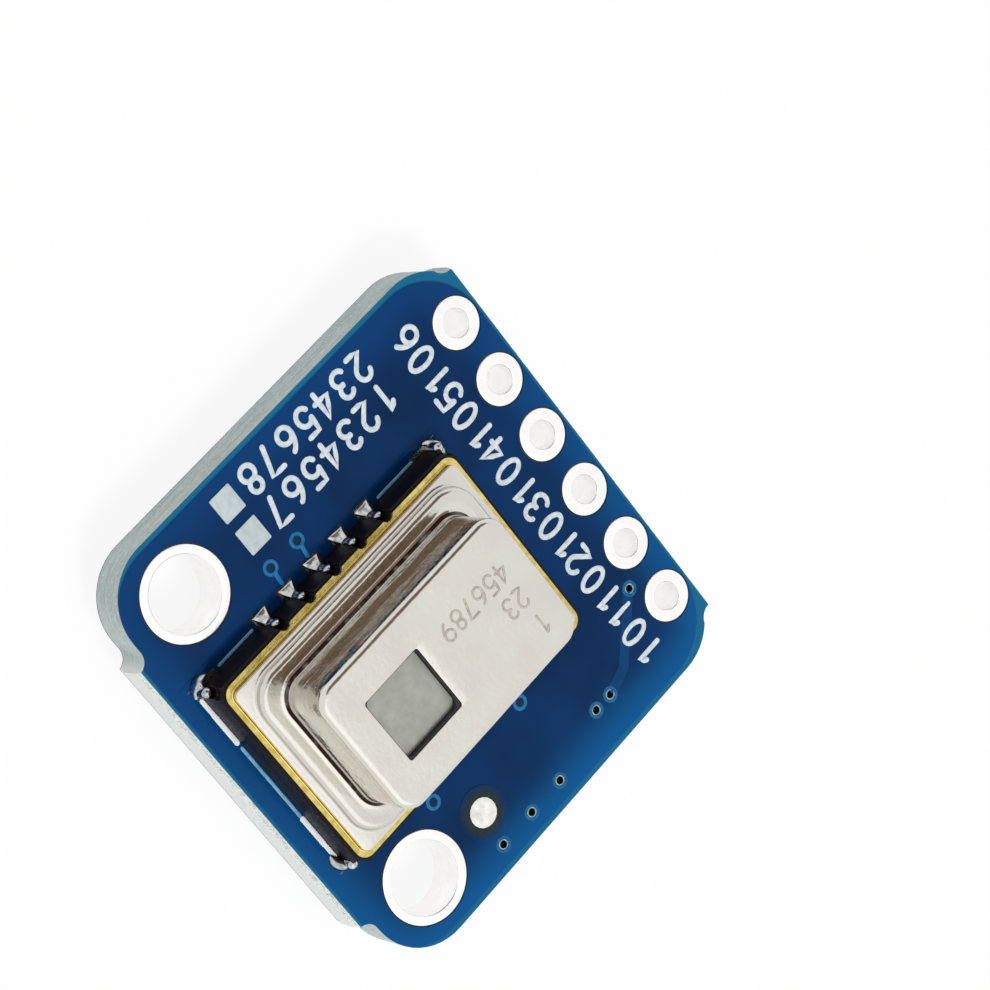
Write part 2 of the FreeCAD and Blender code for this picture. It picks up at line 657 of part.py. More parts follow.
def corner_solder():
    """Steep mound of solder round a corner of the base, inside its notch; X and Y point inwards."""
    reach = "Dims.terminal_reach"
    mound = new_body("corner_mound")
    foot = new_sketch(mound, "corner_mound_foot")
    radius = "Dims.corner_solder_foot"
    turns = [k * 360 / SMALL_ROUND_SIDES for k in range(SMALL_ROUND_SIDES)]
    outline(foot, [(f"{radius} * cos({turn})", f"{radius} * sin({turn})") for turn in turns])
    rise = pad(mound, foot, "corner_mound_rise", "Dims.solder_height")
    slope = f"atan(({radius} - Dims.corner_solder_top) / Dims.solder_height)"
    rise.setExpression("TaperAngle", f"-{slope}")
    quarter = box("corner_quarter", reach, reach, "Dims.base_height", f"{reach} / 2", f"{reach} / 2")
    notch = prism("corner_notch_inside", "Dims.corner_notch_radius - Dims.plating", "Dims.base_height")
    kept_out = cut("corner_kept_out", quarter, notch)
    blob = cut("corner_blob", mound, kept_out)
    film = box("corner_film", reach, reach, "Dims.solder_film", f"{reach} / 2", f"{reach} / 2")
    return group("Part::MultiFuse", "corner_solder", [blob, film])


def sensor_terminals():
    reach = "Dims.terminal_reach"
    middle = f"{reach} / 2"
    side_metal = terminal("side", "Dims.notch_radius", (reach, "Dims.land_width", middle, "0"))
    corner_metal = terminal("corner", "Dims.corner_notch_radius", (reach, reach, middle, middle))
    side_joint = side_solder()
    corner_joint = corner_solder()
    joints = []
    lands = []
    number = 0
    for places, metal, joint in (
        (terminal_places(), side_metal, side_joint),
        (corner_places(), corner_metal, corner_joint),
    ):
        for across, along, turn in places:
            number += 1
            label = f"terminal_{number:02d}"
            level = f"{LAND_TOP} + Dims.solder_film"
            export(copy_of(label, metal, across, along, level, turn), label)
            joints.append(copy_of(f"joint_{number:02d}", joint, across, along, LAND_TOP, turn))
            lands.append(sensor_land(number, metal is corner_metal, across, along, turn))
    export(group("Part::Compound", "sensor_solder", joints), "sensor_solder")
    export(group("Part::Compound", "sensor_lands", lands), "sensor_lands")


def sensor_land(number, at_corner, across, along, turn):
    """Copper land under a terminal, reaching out past the base."""
    span = "Dims.terminal_reach + Dims.land_reach"
    width = span if at_corner else "Dims.land_width"
    shift = "(Dims.terminal_reach - Dims.land_reach) / 2"
    land = box(f"land_{number:02d}_copper", span, width, "Dims.copper", shift, shift if at_corner else "0")
    return copy_of(f"land_{number:02d}", land, across, along, TOP_FACE, turn)


# Cap: one drawn sheet with a flange, a low rounded tier and a tall tier with the window.

def sensor_cap():
    body = new_body("sensor_cap")
    sheet_wall = "2 * Dims.cap_sheet"
    flange = new_sketch(body, "flange_outline")
    rounded_rectangle(flange, FLANGE_WIDTH, FLANGE_LENGTH, "Dims.flange_radius")
    pad(body, flange, "flange", "Dims.cap_sheet")
    shoulder = new_sketch(body, "shoulder_outline")
    rounded_rectangle(shoulder, SHOULDER_WIDTH, SHOULDER_LENGTH, "Dims.shoulder_radius")
    pad(body, shoulder, "shoulder", "Dims.shoulder_height")
    tower = new_sketch(body, "tower_outline")
    rounded_rectangle(tower, TOWER_WIDTH, TOWER_LENGTH, "Dims.tower_radius")
    pad(body, tower, "tower", "Dims.cap_height")

    tower_loop = (f"{TOWER_WIDTH} / 2", f"{TOWER_LENGTH} / 2")
    shoulder_loop = (f"{SHOULDER_WIDTH} / 2", f"{SHOULDER_LENGTH} / 2")
    bend(body, "top_bend", "Dims.cap_height", "Dims.tower_bend", tower_loop)
    bend(body, "shoulder_rounding", "Dims.shoulder_height", "Dims.shoulder_bend", tower_loop, inner=False)
    bend(body, "crease", "Dims.shoulder_height", "Dims.crease_bend", tower_loop, kind="Chamfer")
    bend(body, "flange_foot", "Dims.cap_sheet", "Dims.crease_bend", shoulder_loop, kind="Chamfer")

    lower_room = new_sketch(body, "lower_room_outline")
    rounded_rectangle(
        lower_room,
        f"{SHOULDER_WIDTH} - {sheet_wall}",
        f"{SHOULDER_LENGTH} - {sheet_wall}",
        "(Dims.shoulder_radius - Dims.cap_sheet)",
    )
    pocket(body, lower_room, "lower_room", "Dims.shoulder_height - Dims.cap_sheet")
    upper_room = new_sketch(body, "upper_room_outline")
    rounded_rectangle(
        upper_room,
        f"{TOWER_WIDTH} - {sheet_wall}",
        f"{TOWER_LENGTH} - {sheet_wall}",
        "(Dims.tower_radius - Dims.cap_sheet)",
    )
    pocket(body, upper_room, "upper_room", "Dims.cap_height - Dims.cap_sheet")
    window = new_sketch(body, "window_outline")
    rounded_rectangle(
        window, "Dims.window_size", "Dims.window_size", "Dims.window_radius", "0", f"-{WINDOW_OFFSET}"
    )
    pocket(body, window, "window")
    place(body, "0", SENSOR_ROW, CAP_SEAT)
    return export(body, "sensor_cap")


# Optics and chips inside the cap.

def lens_bond():
    body = new_body("lens_bond")
    frame = new_sketch(body, "bond_outline")
    rectangle(frame, "Dims.lens_size", "Dims.lens_size")
    pad(body, frame, "bond_bead", "Dims.bond_thickness")
    opening = new_sketch(body, "bond_opening")
    clear = "Dims.lens_size - 2 * Dims.bond_band"
    rectangle(opening, clear, clear)
    pocket(body, opening, "bond_opened")
    place(body, "0", WINDOW_ROW, LENS_TOP)
    return export(body, "lens_bond")


def lens():
    """Square silicon plate with a flat outer face and a shallow dome inside."""
    body = new_body("lens")
    plate = new_sketch(body, "lens_outline")
    rectangle(plate, "Dims.lens_size", "Dims.lens_size")
    pad(body, plate, "lens_plate", "Dims.lens_thickness")
    dome = new_sketch(body, "lens_dome_section", role="XZ_Plane")
    rim = "Dims.lens_bulge_radius"
    curve = f"({rim} * {rim} + Dims.lens_bulge * Dims.lens_bulge) / (2 * Dims.lens_bulge)"
    outline(dome, [("0", "0"), ("0", "-Dims.lens_bulge", curve, 1), (rim, "0")])
    revolve(body, dome, "lens_dome")
    place(body, "0", WINDOW_ROW, f"{LENS_TOP} - Dims.lens_thickness")
    return export(body, "lens")


def chips():
    detector = box("detector_chip", "Dims.detector_size", "Dims.detector_size", "Dims.chip_height",
                   "0", WINDOW_ROW, BASE_TOP)
    export(detector, "detector_chip")
    amplifier_row = (
        f"({WINDOW_ROW} + Dims.detector_size / 2 + Dims.chip_gap + Dims.amplifier_length / 2)"
    )
    amplifier = box("amplifier_chip", "Dims.amplifier_width", "Dims.amplifier_length", "Dims.chip_height",
                    "0", amplifier_row, BASE_TOP)
    export(amplifier, "amplifier_chip")


def bond_wires():
    """Flat-topped loops from one chip to the other."""
    half_span = "(Dims.chip_gap / 2 + Dims.wire_landing)"
    inner = f"({half_span} - Dims.wire_size)"
    wires = []
    for number, step in enumerate(centred(WIRES), start=1):
        body = new_body(f"wire_{number}")
        loop = new_sketch(body, f"wire_{number}_loop", role="YZ_Plane")
        outline(loop, [
            (f"-{half_span}", "0"), (f"-{inner}", "0"),
            (f"-{inner}", "Dims.wire_height - Dims.wire_size"),
            (inner, "Dims.wire_height - Dims.wire_size"), (inner, "0"), (half_span, "0"),
            (half_span, "Dims.wire_height"), (f"-{half_span}", "Dims.wire_height"),
        ])
        pad(body, loop, f"wire_{number}_strand", "Dims.wire_size", both_ways=True)
        across = f"Dims.wire_pitch * {step}"
        gap_row = f"({WINDOW_ROW} + Dims.detector_size / 2 + Dims.chip_gap / 2)"
        place(body, across, gap_row, f"{BASE_TOP} + Dims.chip_height")
        wires.append(body)
    export(group("Part::Compound", "bond_wires", wires), "bond_wires")


# Underside: moulded packages, chip resistors and capacitors, their lands and solder.

def package_body(label, across, along):
    """Moulded block with drafted sides that meet at the level of its leads."""
    body = new_body(label)
    parting = "(Dims.package_height - Dims.package_standoff) / 2"
    halves = (("lower", True), ("upper", False))
    for half, downwards in halves:
        section = new_sketch(body, f"{label}_{half}_outline", lift=parting)
        rectangle(section, "Dims.package_length", "Dims.package_width")
        feature = pad(body, section, f"{label}_{half}", parting)
        feature.Reversed = downwards
        feature.setExpression("TaperAngle", "-Dims.package_draft")
    place(body, across, along, "0")
    return export(body, label)


def package_leads(label, across, along, columns):
    """Gull-wing leads: columns gives each lead's step along the package and its side."""
    feet = "(Dims.package_height - Dims.solder_film)"
    exit_level = "(Dims.package_height - Dims.package_standoff) / 2"
    metal = "Dims.lead_thickness"
    tip = "Dims.lead_span / 2"
    heel = f"({tip} - Dims.lead_foot)"
    wall = "Dims.package_width / 2"
    leads = []
    for number, (step, side) in enumerate(columns, start=1):
        body = new_body(f"{label}_{number}")
        shape = new_sketch(body, f"{label}_{number}_shape", role="YZ_Plane")
        outline(shape, [
            (wall, f"{exit_level} - {metal} / 2"), (heel, f"{exit_level} - {metal} / 2"),
            (f"{heel} + {metal}", f"{feet} - {metal}"), (tip, f"{feet} - {metal}"), (tip, feet),
            (heel, feet), (f"{heel} - {metal}", f"{exit_level} + {metal} / 2"),
            (wall, f"{exit_level} + {metal} / 2"),
        ])
        pad(body, shape, f"{label}_{number}_strip", "Dims.lead_width", both_ways=True)
        turn = 0 if side > 0 else 180
        place(body, f"{across} + Dims.lead_pitch * {step}", along, "0", turn)
        leads.append(body)
    export(group("Part::Compound", label, leads), label)


FIVE_LEADS = [(-1, 1), (0, 1), (1, 1), (-1, -1), (1, -1)]
THREE_LEADS = [(-1, 1), (1, 1), (0, -1)]
REGULATOR_ROW = f"({HEADER_ROW} - Dims.regulator_drop)"
LOWER_ROW = f"({HEADER_ROW} - Dims.lower_row_drop)"
RESISTOR_ROW = f"({HEADER_ROW} - Dims.resistor_drop)"
PACKAGES = [
    ("regulator", "0", REGULATOR_ROW, FIVE_LEADS),
    ("transistor_left", "-Dims.transistor_across", LOWER_ROW, THREE_LEADS),
    ("transistor_right", "Dims.transistor_across", LOWER_ROW, THREE_LEADS),
]
RESISTORS = [(f"Dims.resistor_pitch * {step}", RESISTOR_ROW) for step in centred(RESISTOR_COUNT)]
CAPACITORS = [
    ("-Dims.capacitor_across", REGULATOR_ROW),
    ("Dims.capacitor_across", REGULATOR_ROW),
    ("0", LOWER_ROW),
]


def chip_component(label, thickness, across, along):
    """Ceramic block between its two metal ends, hung from the lands; the ends are returned."""
    level = f"{UNDERSIDE} - Dims.copper - Dims.solder_film - {thickness}"
    wall = "Dims.chip_cap_wall"
    ceramic = box(label, f"Dims.chip_length - 2 * {wall}", f"Dims.chip_width - 2 * {wall}",
                  f"{thickness} - 2 * {wall}", across, along, f"{level} + {wall}")
    export(ceramic, label)
    ends = []
    for side in (-1, 1):
        middle = f"{across} + {side} * (Dims.chip_length - Dims.chip_cap) / 2"
        shell = box(f"{label}_end_shell_{side + 2}", "Dims.chip_cap", "Dims.chip_width", thickness,
                    middle, along, level)
        ends.append(cut(f"{label}_end_{side + 2}", shell, ceramic))
    return ends


def toe_solder(name, width, climb, under):
    """Film under a piece of metal and a fillet up its end; X points outwards, the board is above."""
    body = new_body(name)
    side = new_sketch(body, f"{name}_side", role="XZ_Plane")
    reach = "Dims.fillet_reach"
    waist = "Dims.fillet_waist"
    outline(side, [
        (f"-{under}", "-Dims.solder_film"), ("0", "-Dims.solder_film"), ("0", f"-{climb}"),
        (f"{reach} * {waist}", f"-{climb} * {waist}"), (reach, "-Dims.solder_film"), (reach, "0"),
        (f"-{under}", "0"),
    ])
    pad(body, side, f"{name}_slab", width, both_ways=True)
    return body


def underside_lands():
    """Every underside land as (width, length, across, along)."""
    lands = []
    foot_row = "(Dims.lead_span - Dims.lead_foot + Dims.fillet_reach) / 2"
    for _, across, along, columns in PACKAGES:
        for step, side in columns:
            lands.append((
                "Dims.lead_width",
                "(Dims.lead_foot + Dims.fillet_reach)",
                f"({across} + Dims.lead_pitch * {step})",
                f"({along} + {side} * {foot_row})",
            ))
    end_row = "(Dims.chip_length - Dims.chip_cap + Dims.fillet_reach) / 2"
    for across, along in RESISTORS + CAPACITORS:
        for side in (-1, 1):
            lands.append((
                "(Dims.chip_cap + Dims.fillet_reach)",
                "Dims.chip_width",
                f"({across} + {side} * {end_row})",
                along,
            ))
    return lands


def underside_openings(sketch):
    for width, length, across, along in underside_lands():
        rectangle(sketch, f"{width} + Dims.mask_gap * 2", f"{length} + Dims.mask_gap * 2", across, along)


def underside():
    """Packages, chip components and what holds them under the board."""
    joints = []
    solder_level = f"({UNDERSIDE} - Dims.copper)"
    toe = toe_solder("toe_solder", "Dims.lead_width", "Dims.lead_thickness", "Dims.lead_foot")
    for label, across, along, columns in PACKAGES:
        package_body(f"{label}_body", across, along)
        package_leads(f"{label}_leads", across, along, columns)
        for number, (step, side) in enumerate(columns, start=1):
            place_across = f"{across} + Dims.lead_pitch * {step}"
            place_along = f"{along} + {side} * Dims.lead_span / 2"
            name = f"{label}_toe_{number}"
            joints.append(copy_of(name, toe, place_across, place_along, solder_level, side * 90))
    ends = []
    kinds = (("resistor", RESISTORS), ("capacitor", CAPACITORS))
    for kind, places in kinds:
        thickness = f"Dims.{kind}_thickness"
        climb = f"{thickness} * Dims.fillet_climb"
        end_joint = toe_solder(f"{kind}_solder", "Dims.chip_width", climb, "Dims.chip_cap")
        for number, (across, along) in enumerate(places, start=1):
            ends += chip_component(f"{kind}_{number}", thickness, across, along)
            for side, turn in ((-1, 180), (1, 0)):
                place_across = f"{across} + {side} * Dims.chip_length / 2"
                name = f"{kind}_{number}_joint_{side + 2}"
                joints.append(copy_of(name, end_joint, place_across, along, solder_level, turn))
    export(group("Part::Compound", "chip_end_caps", ends), "chip_end_caps")
    export(group("Part::Compound", "underside_solder", joints), "underside_solder")
    lands = []
    for number, (width, length, across, along) in enumerate(underside_lands(), start=1):
        name = f"underside_land_{number}"
        lands.append(box(name, width, length, "Dims.copper", across, along, solder_level))
    export(group("Part::Compound", "underside_lands", lands), "underside_lands")


circuit_board()
dot_opening = [("Dims.fiducial_clearance", *FIDUCIAL)]
solder_mask("solder_mask_top", TOP_FACE, sensor_openings, dot_opening)
solder_mask("solder_mask_bottom", f"{UNDERSIDE} - Dims.mask_thickness", underside_openings)
plated_holes()
fiducial_dot()
sensor_base()
sensor_terminals()
seal_ring()
sensor_cap()
lens_bond()
lens()
chips()
bond_wires()
underside()
doc.recompute()

for thing in doc.Objects:
    if "Invalid" in thing.State or "Error" in thing.State:
        raise RuntimeError(f"{thing.Label} failed: {thing.State}")
for thing in EXPORTED:
    if thing.Shape.isNull() or not thing.Shape.isValid():
        raise RuntimeError(f"{thing.Label} has no valid shape")

os.makedirs("parts", exist_ok=True)
for thing in EXPORTED:
    thing.Shape.exportStep(f"parts/{thing.Label}.step")
print(f"{len(EXPORTED)} pieces written")
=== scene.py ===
import json
import math

import bpy
import numpy as np
from bpy.props import FloatProperty, FloatVectorProperty, PointerProperty
from mathutils import Matrix, Vector


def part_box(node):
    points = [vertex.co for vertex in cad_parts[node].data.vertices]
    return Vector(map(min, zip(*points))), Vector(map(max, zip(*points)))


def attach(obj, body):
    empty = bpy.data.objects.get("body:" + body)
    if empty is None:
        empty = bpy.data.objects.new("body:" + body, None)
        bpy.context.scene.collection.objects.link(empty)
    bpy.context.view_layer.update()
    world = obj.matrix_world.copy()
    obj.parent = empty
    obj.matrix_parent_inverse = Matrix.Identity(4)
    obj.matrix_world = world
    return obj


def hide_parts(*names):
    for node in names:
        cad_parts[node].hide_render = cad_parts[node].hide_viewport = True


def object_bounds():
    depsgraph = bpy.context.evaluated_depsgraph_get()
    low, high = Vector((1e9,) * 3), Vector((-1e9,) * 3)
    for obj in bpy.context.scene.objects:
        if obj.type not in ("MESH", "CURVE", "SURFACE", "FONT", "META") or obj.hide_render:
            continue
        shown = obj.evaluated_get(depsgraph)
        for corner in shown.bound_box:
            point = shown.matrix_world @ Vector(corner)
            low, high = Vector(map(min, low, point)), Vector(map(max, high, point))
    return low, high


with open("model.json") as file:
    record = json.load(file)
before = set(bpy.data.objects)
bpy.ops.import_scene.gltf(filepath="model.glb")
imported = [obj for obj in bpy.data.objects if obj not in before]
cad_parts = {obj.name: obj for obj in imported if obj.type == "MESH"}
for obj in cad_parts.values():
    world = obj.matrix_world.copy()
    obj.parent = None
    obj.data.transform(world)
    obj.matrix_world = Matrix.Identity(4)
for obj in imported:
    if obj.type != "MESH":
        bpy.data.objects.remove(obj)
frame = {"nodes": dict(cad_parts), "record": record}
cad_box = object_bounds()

bl_info = {
    "name": "Infrared Array Module",
    "version": (1, 0, 0),
    "blender": (4, 5, 0),
    "location": "View3D > Sidebar > Module",
    "description": "Finishes, markings and fine forms of an infrared array sensor on its breakout board",
    "category": "Add Mesh",
}

MM = 0.001
BODY = "root"

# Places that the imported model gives, in metres.
MASK_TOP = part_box("solder_mask_top")[1].z
CAP_LOW, CAP_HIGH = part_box("sensor_cap")
BASE_LOW, BASE_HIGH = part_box("sensor_base")
SENSOR_MIDDLE = (CAP_LOW + CAP_HIGH) / 2
HEADER_MIDDLE = (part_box("header_eyelet_1")[0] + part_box("header_eyelet_6")[1]) / 2
HEADER_PITCH = (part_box("header_eyelet_2")[0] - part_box("header_eyelet_1")[0]).x
BOARD_LOW, BOARD_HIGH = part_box("circuit_board")
VIA_WALL = 0.19 * MM  # outer radius of a small via's plating


def linear(hex_colour):
    """Scene-linear colour with full alpha from an sRGB hex value."""
    channels = np.array([int(hex_colour[k:k + 2], 16) for k in (1, 3, 5)]) / 255
    low, high = channels / 12.92, ((channels + 0.055) / 1.055) ** 2.4
    return (*np.where(channels <= 0.04045, low, high).tolist(), 1.0)


def colour_property(name, hex_colour, description):
    return FloatVectorProperty(
        name=name, description=description, subtype="COLOR", size=4, min=0, max=1, default=linear(hex_colour)
    )


def length_property(name, millimetres, description):
    return FloatProperty(name=name, description=description, unit="LENGTH", precision=5, default=millimetres * MM)


class BoardLook(bpy.types.PropertyGroup):
    mask_navy: colour_property("Mask", "#043466", "Solder mask over copper")
    mask_deep: colour_property("Mask, deep", "#032953", "Solder mask where it lies thickest")
    mask_thin: colour_property("Mask, thin", "#08609f", "Solder mask drawn thin towards the edges")
    mask_left_edge: colour_property("Mask, left side", "#083f79", "Solder mask by the left edge, darker than by the right")
    mask_bare: colour_property("Mask, bare", "#18688f", "Solder mask over bare laminate by the edge")
    laminate: colour_property("Laminate", "#c3d0cf", "Routed glass-epoxy edge")
    ink: colour_property("Ink", "#e6edf0", "Printed markings")
    stroke: length_property("Stroke", 0.19, "Width of the printed strokes")
    ink_height: length_property("Ink height", 0.02, "Height of the printed strokes")
    pour_inset: length_property("Copper inset", 0.17, "Copper layer from the board's edge")


class SensorLook(bpy.types.PropertyGroup):
    nickel: colour_property("Cap", "#d9d9cf", "Nickel-plated drawn sheet")
    gold: colour_property("Gold", "#e0cf86", "Gold plate on the seal ring and terminals")
    ceramic: colour_property("Ceramic", "#0b090c", "Dark fired ceramic")
    silicon: colour_property("Silicon", "#a0a199", "Coated silicon lens")
    sheet: length_property("Sheet", 0.22, "Thickness of the drawn sheet")
    shoulder_step: length_property("Lower tier", 0.21, "Flange beyond the lower tier, at each side")
    shoulder_end: length_property("Lower tier end", 0.275, "Flange beyond the lower tier, at each end")
    shoulder_height: length_property("Lower tier height", 0.6, "Lower tier above the seal ring")
    tier_step: length_property("Upper tier", 0.77, "Lower tier beyond the upper one, all round")
    window: length_property("Window", 2.56, "Square window")
    window_shift: length_property("Window offset", 1.89, "Window from the sensor's middle, away from the header")
    wave_depth: length_property("Waviness", 0.012, "Unevenness left in the drawn sheet")
    mark_width: length_property("Mark", 0.09, "Width of the strokes marked in the cap")


class StageLook(bpy.types.PropertyGroup):
    floor: colour_property("Floor", "#fbfbfa", "Plain pale floor")
    world_level: FloatProperty(name="Room light", description="Light from all round", min=0, default=0.45)
    key_level: FloatProperty(name="Key light", description="Softbox overhead", unit="POWER", min=0, default=1.4)
    focal: FloatProperty(name="Focal length", description="The camera's lens", unit="CAMERA", min=1, default=123.12)


# Materials

SOFT = 0.55  # how strongly the finer detail of a noise shows
MIDDLE = {"From Min": 0.3, "From Max": 0.7}  # the range that a noise's values mostly lie in


def node(material, kind, inputs=None, give=0, **settings):
    """Add a node with its settings and links, and hand back one of its outputs.

    inputs maps a socket to a value, to a hex colour, or to the output that feeds it.
    """
    tree = material.node_tree
    made = tree.nodes.new("ShaderNode" + kind)
    for name, value in settings.items():
        setattr(made, name, value)
    for name, value in (inputs or {}).items():
        if isinstance(value, bpy.types.NodeSocket):
            tree.links.new(value, made.inputs[name])
        else:
            made.inputs[name].default_value = linear(value) if isinstance(value, str) else value
    return made.outputs[give] if made.outputs else None


def empty_material(name):
    material = bpy.data.materials.new(name)
    material.use_nodes = True
    material.node_tree.nodes.clear()
    return material


def shade(material, sockets):
    """Close a material with the main shader on the given sockets."""
    node(material, "OutputMaterial", {"Surface": node(material, "BsdfPrincipled", sockets)})
    return material


def place_of(material, stretch=(1, 1, 1)):
    """Object coordinates in metres, divided by a stretch along each axis."""
    where = node(material, "TexCoord", give="Object")
    return node(material, "Mapping", {"Vector": where, "Scale": [1 / s for s in stretch]})


def blend(material, factor, first, second, low=0.35, high=0.65):
    """Colour between two, by a factor's middle range."""
    eased = node(material, "MapRange", {"Value": factor, "From Min": low, "From Max": high})
    return node(material, "Mix", {0: eased, 6: first, 7: second}, 2, data_type="RGBA")


def grained(material, fine, gloss, depth, under=None):
    """Roughness and relief from one fine noise: its middle range moves the roughness between two values."""
    relief = {"Height": fine, "Distance": depth}
    if under is not None:
        relief["Normal"] = under
    rough = {"Value": fine, **MIDDLE, "To Min": gloss[0], "To Max": gloss[1]}
    return {"Roughness": node(material, "MapRange", rough), "Normal": node(material, "Bump", relief)}


def two_tone(name, first, second, patch, gloss, grain, depth, sockets):
    """Finish of two near colours in patches, and a grain in its gloss and relief; lengths in millimetres."""
    material = empty_material(name)
    soft = {"Vector": place_of(material), "Roughness": SOFT}
    cloud = node(material, "TexNoise", {**soft, "Scale": 1 / (patch * MM), "Detail": 3})
    fine = node(material, "TexNoise", {**soft, "Scale": 1 / (grain * MM), "Detail": 4})
    colour = blend(material, cloud, first, second)
    return shade(material, {"Base Color": colour, **grained(material, fine, gloss, depth * MM), **sockets})


def flat_distance(material, where, middle):
    """Distance in the board's plane from an upright axis through the middle."""
    offset = node(material, "VectorMath", {0: where, 1: middle}, operation="SUBTRACT")
    flat = node(material, "VectorMath", {0: offset, 1: (1, 1, 0)}, operation="MULTIPLY")
    return node(material, "VectorMath", {0: flat}, "Value", operation="LENGTH")


def rim_reach(material, where, radius):
    """Distance from the middle of the board's corner rounding, which is the radius along the whole rim."""
    middle = (BOARD_LOW + BOARD_HIGH) / 2
    half = (BOARD_HIGH - BOARD_LOW) / 2
    core = (half.x - radius, half.y - radius, 0)
    reach = where
    for operation, other in (
        ("SUBTRACT", (middle.x, middle.y, 0)), ("MULTIPLY", (1, 1, 0)), ("ABSOLUTE", None),
        ("SUBTRACT", core), ("MAXIMUM", (0, 0, 0)),
    ):
        reach = node(
            material, "VectorMath", {0: reach} if other is None else {0: reach, 1: other}, operation=operation
        )
    return node(material, "VectorMath", {0: reach}, "Value", operation="LENGTH")


def solder_mask_finish(look, well=None):
    """Glossy epoxy ink over copper: deep navy, thinner towards the rim, teal where the copper stops short of it.

    A well is a middle and two radii: bare laminate shows through inside, and the ink closes over it outwards.
    """
    corner, thin_from, step_width, step_depth = 2.6 * MM, 0.5 * MM, 0.06 * MM, 0.02 * MM
    material = empty_material("liquid_solder_mask" if well is None else "solder_mask_thinned_to_laminate")
    where = node(material, "TexCoord", give="Object")
    soft = {"Vector": where, "Detail": 2, "Roughness": SOFT}
    reach = rim_reach(material, where, corner)
    line = corner - look.pour_inset
    cloud = node(material, "TexNoise", {**soft, "Scale": 1 / (3 * MM)})
    inked = blend(material, cloud, look.mask_deep, look.mask_navy)
    thinner = node(material, "MapRange", {
        "Value": reach, "From Min": thin_from, "From Max": line, "To Max": 0.75,
    }, interpolation_type="SMOOTHSTEP")
    across = node(material, "SeparateXYZ", {0: where}, "X")
    # Darker towards the left edge, lighter towards the right.
    edge = blend(material, across, look.mask_left_edge, look.mask_thin, BOARD_LOW.x, BOARD_HIGH.x)
    near_rim = node(material, "Mix", {0: thinner, 6: inked, 7: edge}, 2, data_type="RGBA")
    bare = node(material, "MapRange", {
        "Value": reach, "From Min": line - step_width / 2, "From Max": line + step_width / 2,
    })
    colour = node(material, "Mix", {0: bare, 6: near_rim, 7: look.mask_bare}, 2, data_type="RGBA")
    if well is not None:
        middle, inner, outer = well
        away = flat_distance(material, where, middle)
        mottle = node(material, "TexNoise", {**soft, "Scale": 1 / (0.25 * MM), "Detail": 3})
        olive = blend(material, mottle, "#2f3a38", "#253230")
        closing = node(material, "MapRange", {"Value": away, "From Min": inner + 0.1 * MM, "From Max": outer})
        colour = node(material, "Mix", {0: closing, 6: olive, 7: colour}, 2, data_type="RGBA")
    weave = node(material, "TexNoise", {**soft, "Scale": 1 / (0.4 * MM)})
    step = node(material, "Bump", {"Height": bare, "Distance": -step_depth})
    return shade(material, {
        "Base Color": colour,
        "Specular IOR Level": 0.08,
        **grained(material, weave, (0.12, 0.2), 0.003 * MM, step),
    })


def laminate_finish(look):
    """Routed glass-epoxy: pale grey-green sides with frayed white fibres, paler at the snapped tab, for its fibres
    and as painted light on that side; olive faces.
    """
    material = empty_material("routed_glass_epoxy")
    layers = node(material, "TexNoise", {
        "Vector": place_of(material, (4, 4, 0.35)), "Scale": 1 / (0.35 * MM), "Detail": 4, "Roughness": SOFT,
    })
    where = place_of(material)
    fray = node(material, "TexNoise", {"Vector": where, "Scale": 1 / (0.12 * MM), "Detail": 5, "Roughness": 0.75})
    base = blend(material, layers, "#9fb2b2", look.laminate, 0.3, 0.6)
    side = blend(material, fray, base, "#e3e9e7", 0.5, 0.7)
    # Painted light and fibres: the side by the snapped tab is whitened for its frayed fibres and for the light that
    # falls on that side.
    along = node(material, "SeparateXYZ", {0: where}, "Y")
    side = blend(material, along, "#edf2f0", side, BOARD_LOW.y + 0.15 * MM, BOARD_LOW.y + 0.5 * MM)
    skin = (BOARD_HIGH.z - BOARD_LOW.z) / 2 - 0.01 * MM
    level = node(material, "SeparateXYZ", {0: where}, "Z")
    middle = (BOARD_LOW.z + BOARD_HIGH.z) / 2
    depth = node(material, "Math", {0: level, 1: middle}, operation="SUBTRACT")
    away = node(material, "Math", {0: depth}, operation="ABSOLUTE")
    face = node(material, "MapRange", {"Value": away, "From Min": skin - 0.01 * MM, "From Max": skin})
    return shade(material, {
        "Base Color": node(material, "Mix", {0: face, 6: side, 7: "#2a343a"}, 2, data_type="RGBA"),
        "Specular IOR Level": 0.35,
        **grained(material, fray, (0.45, 0.7), 0.03 * MM),
    })


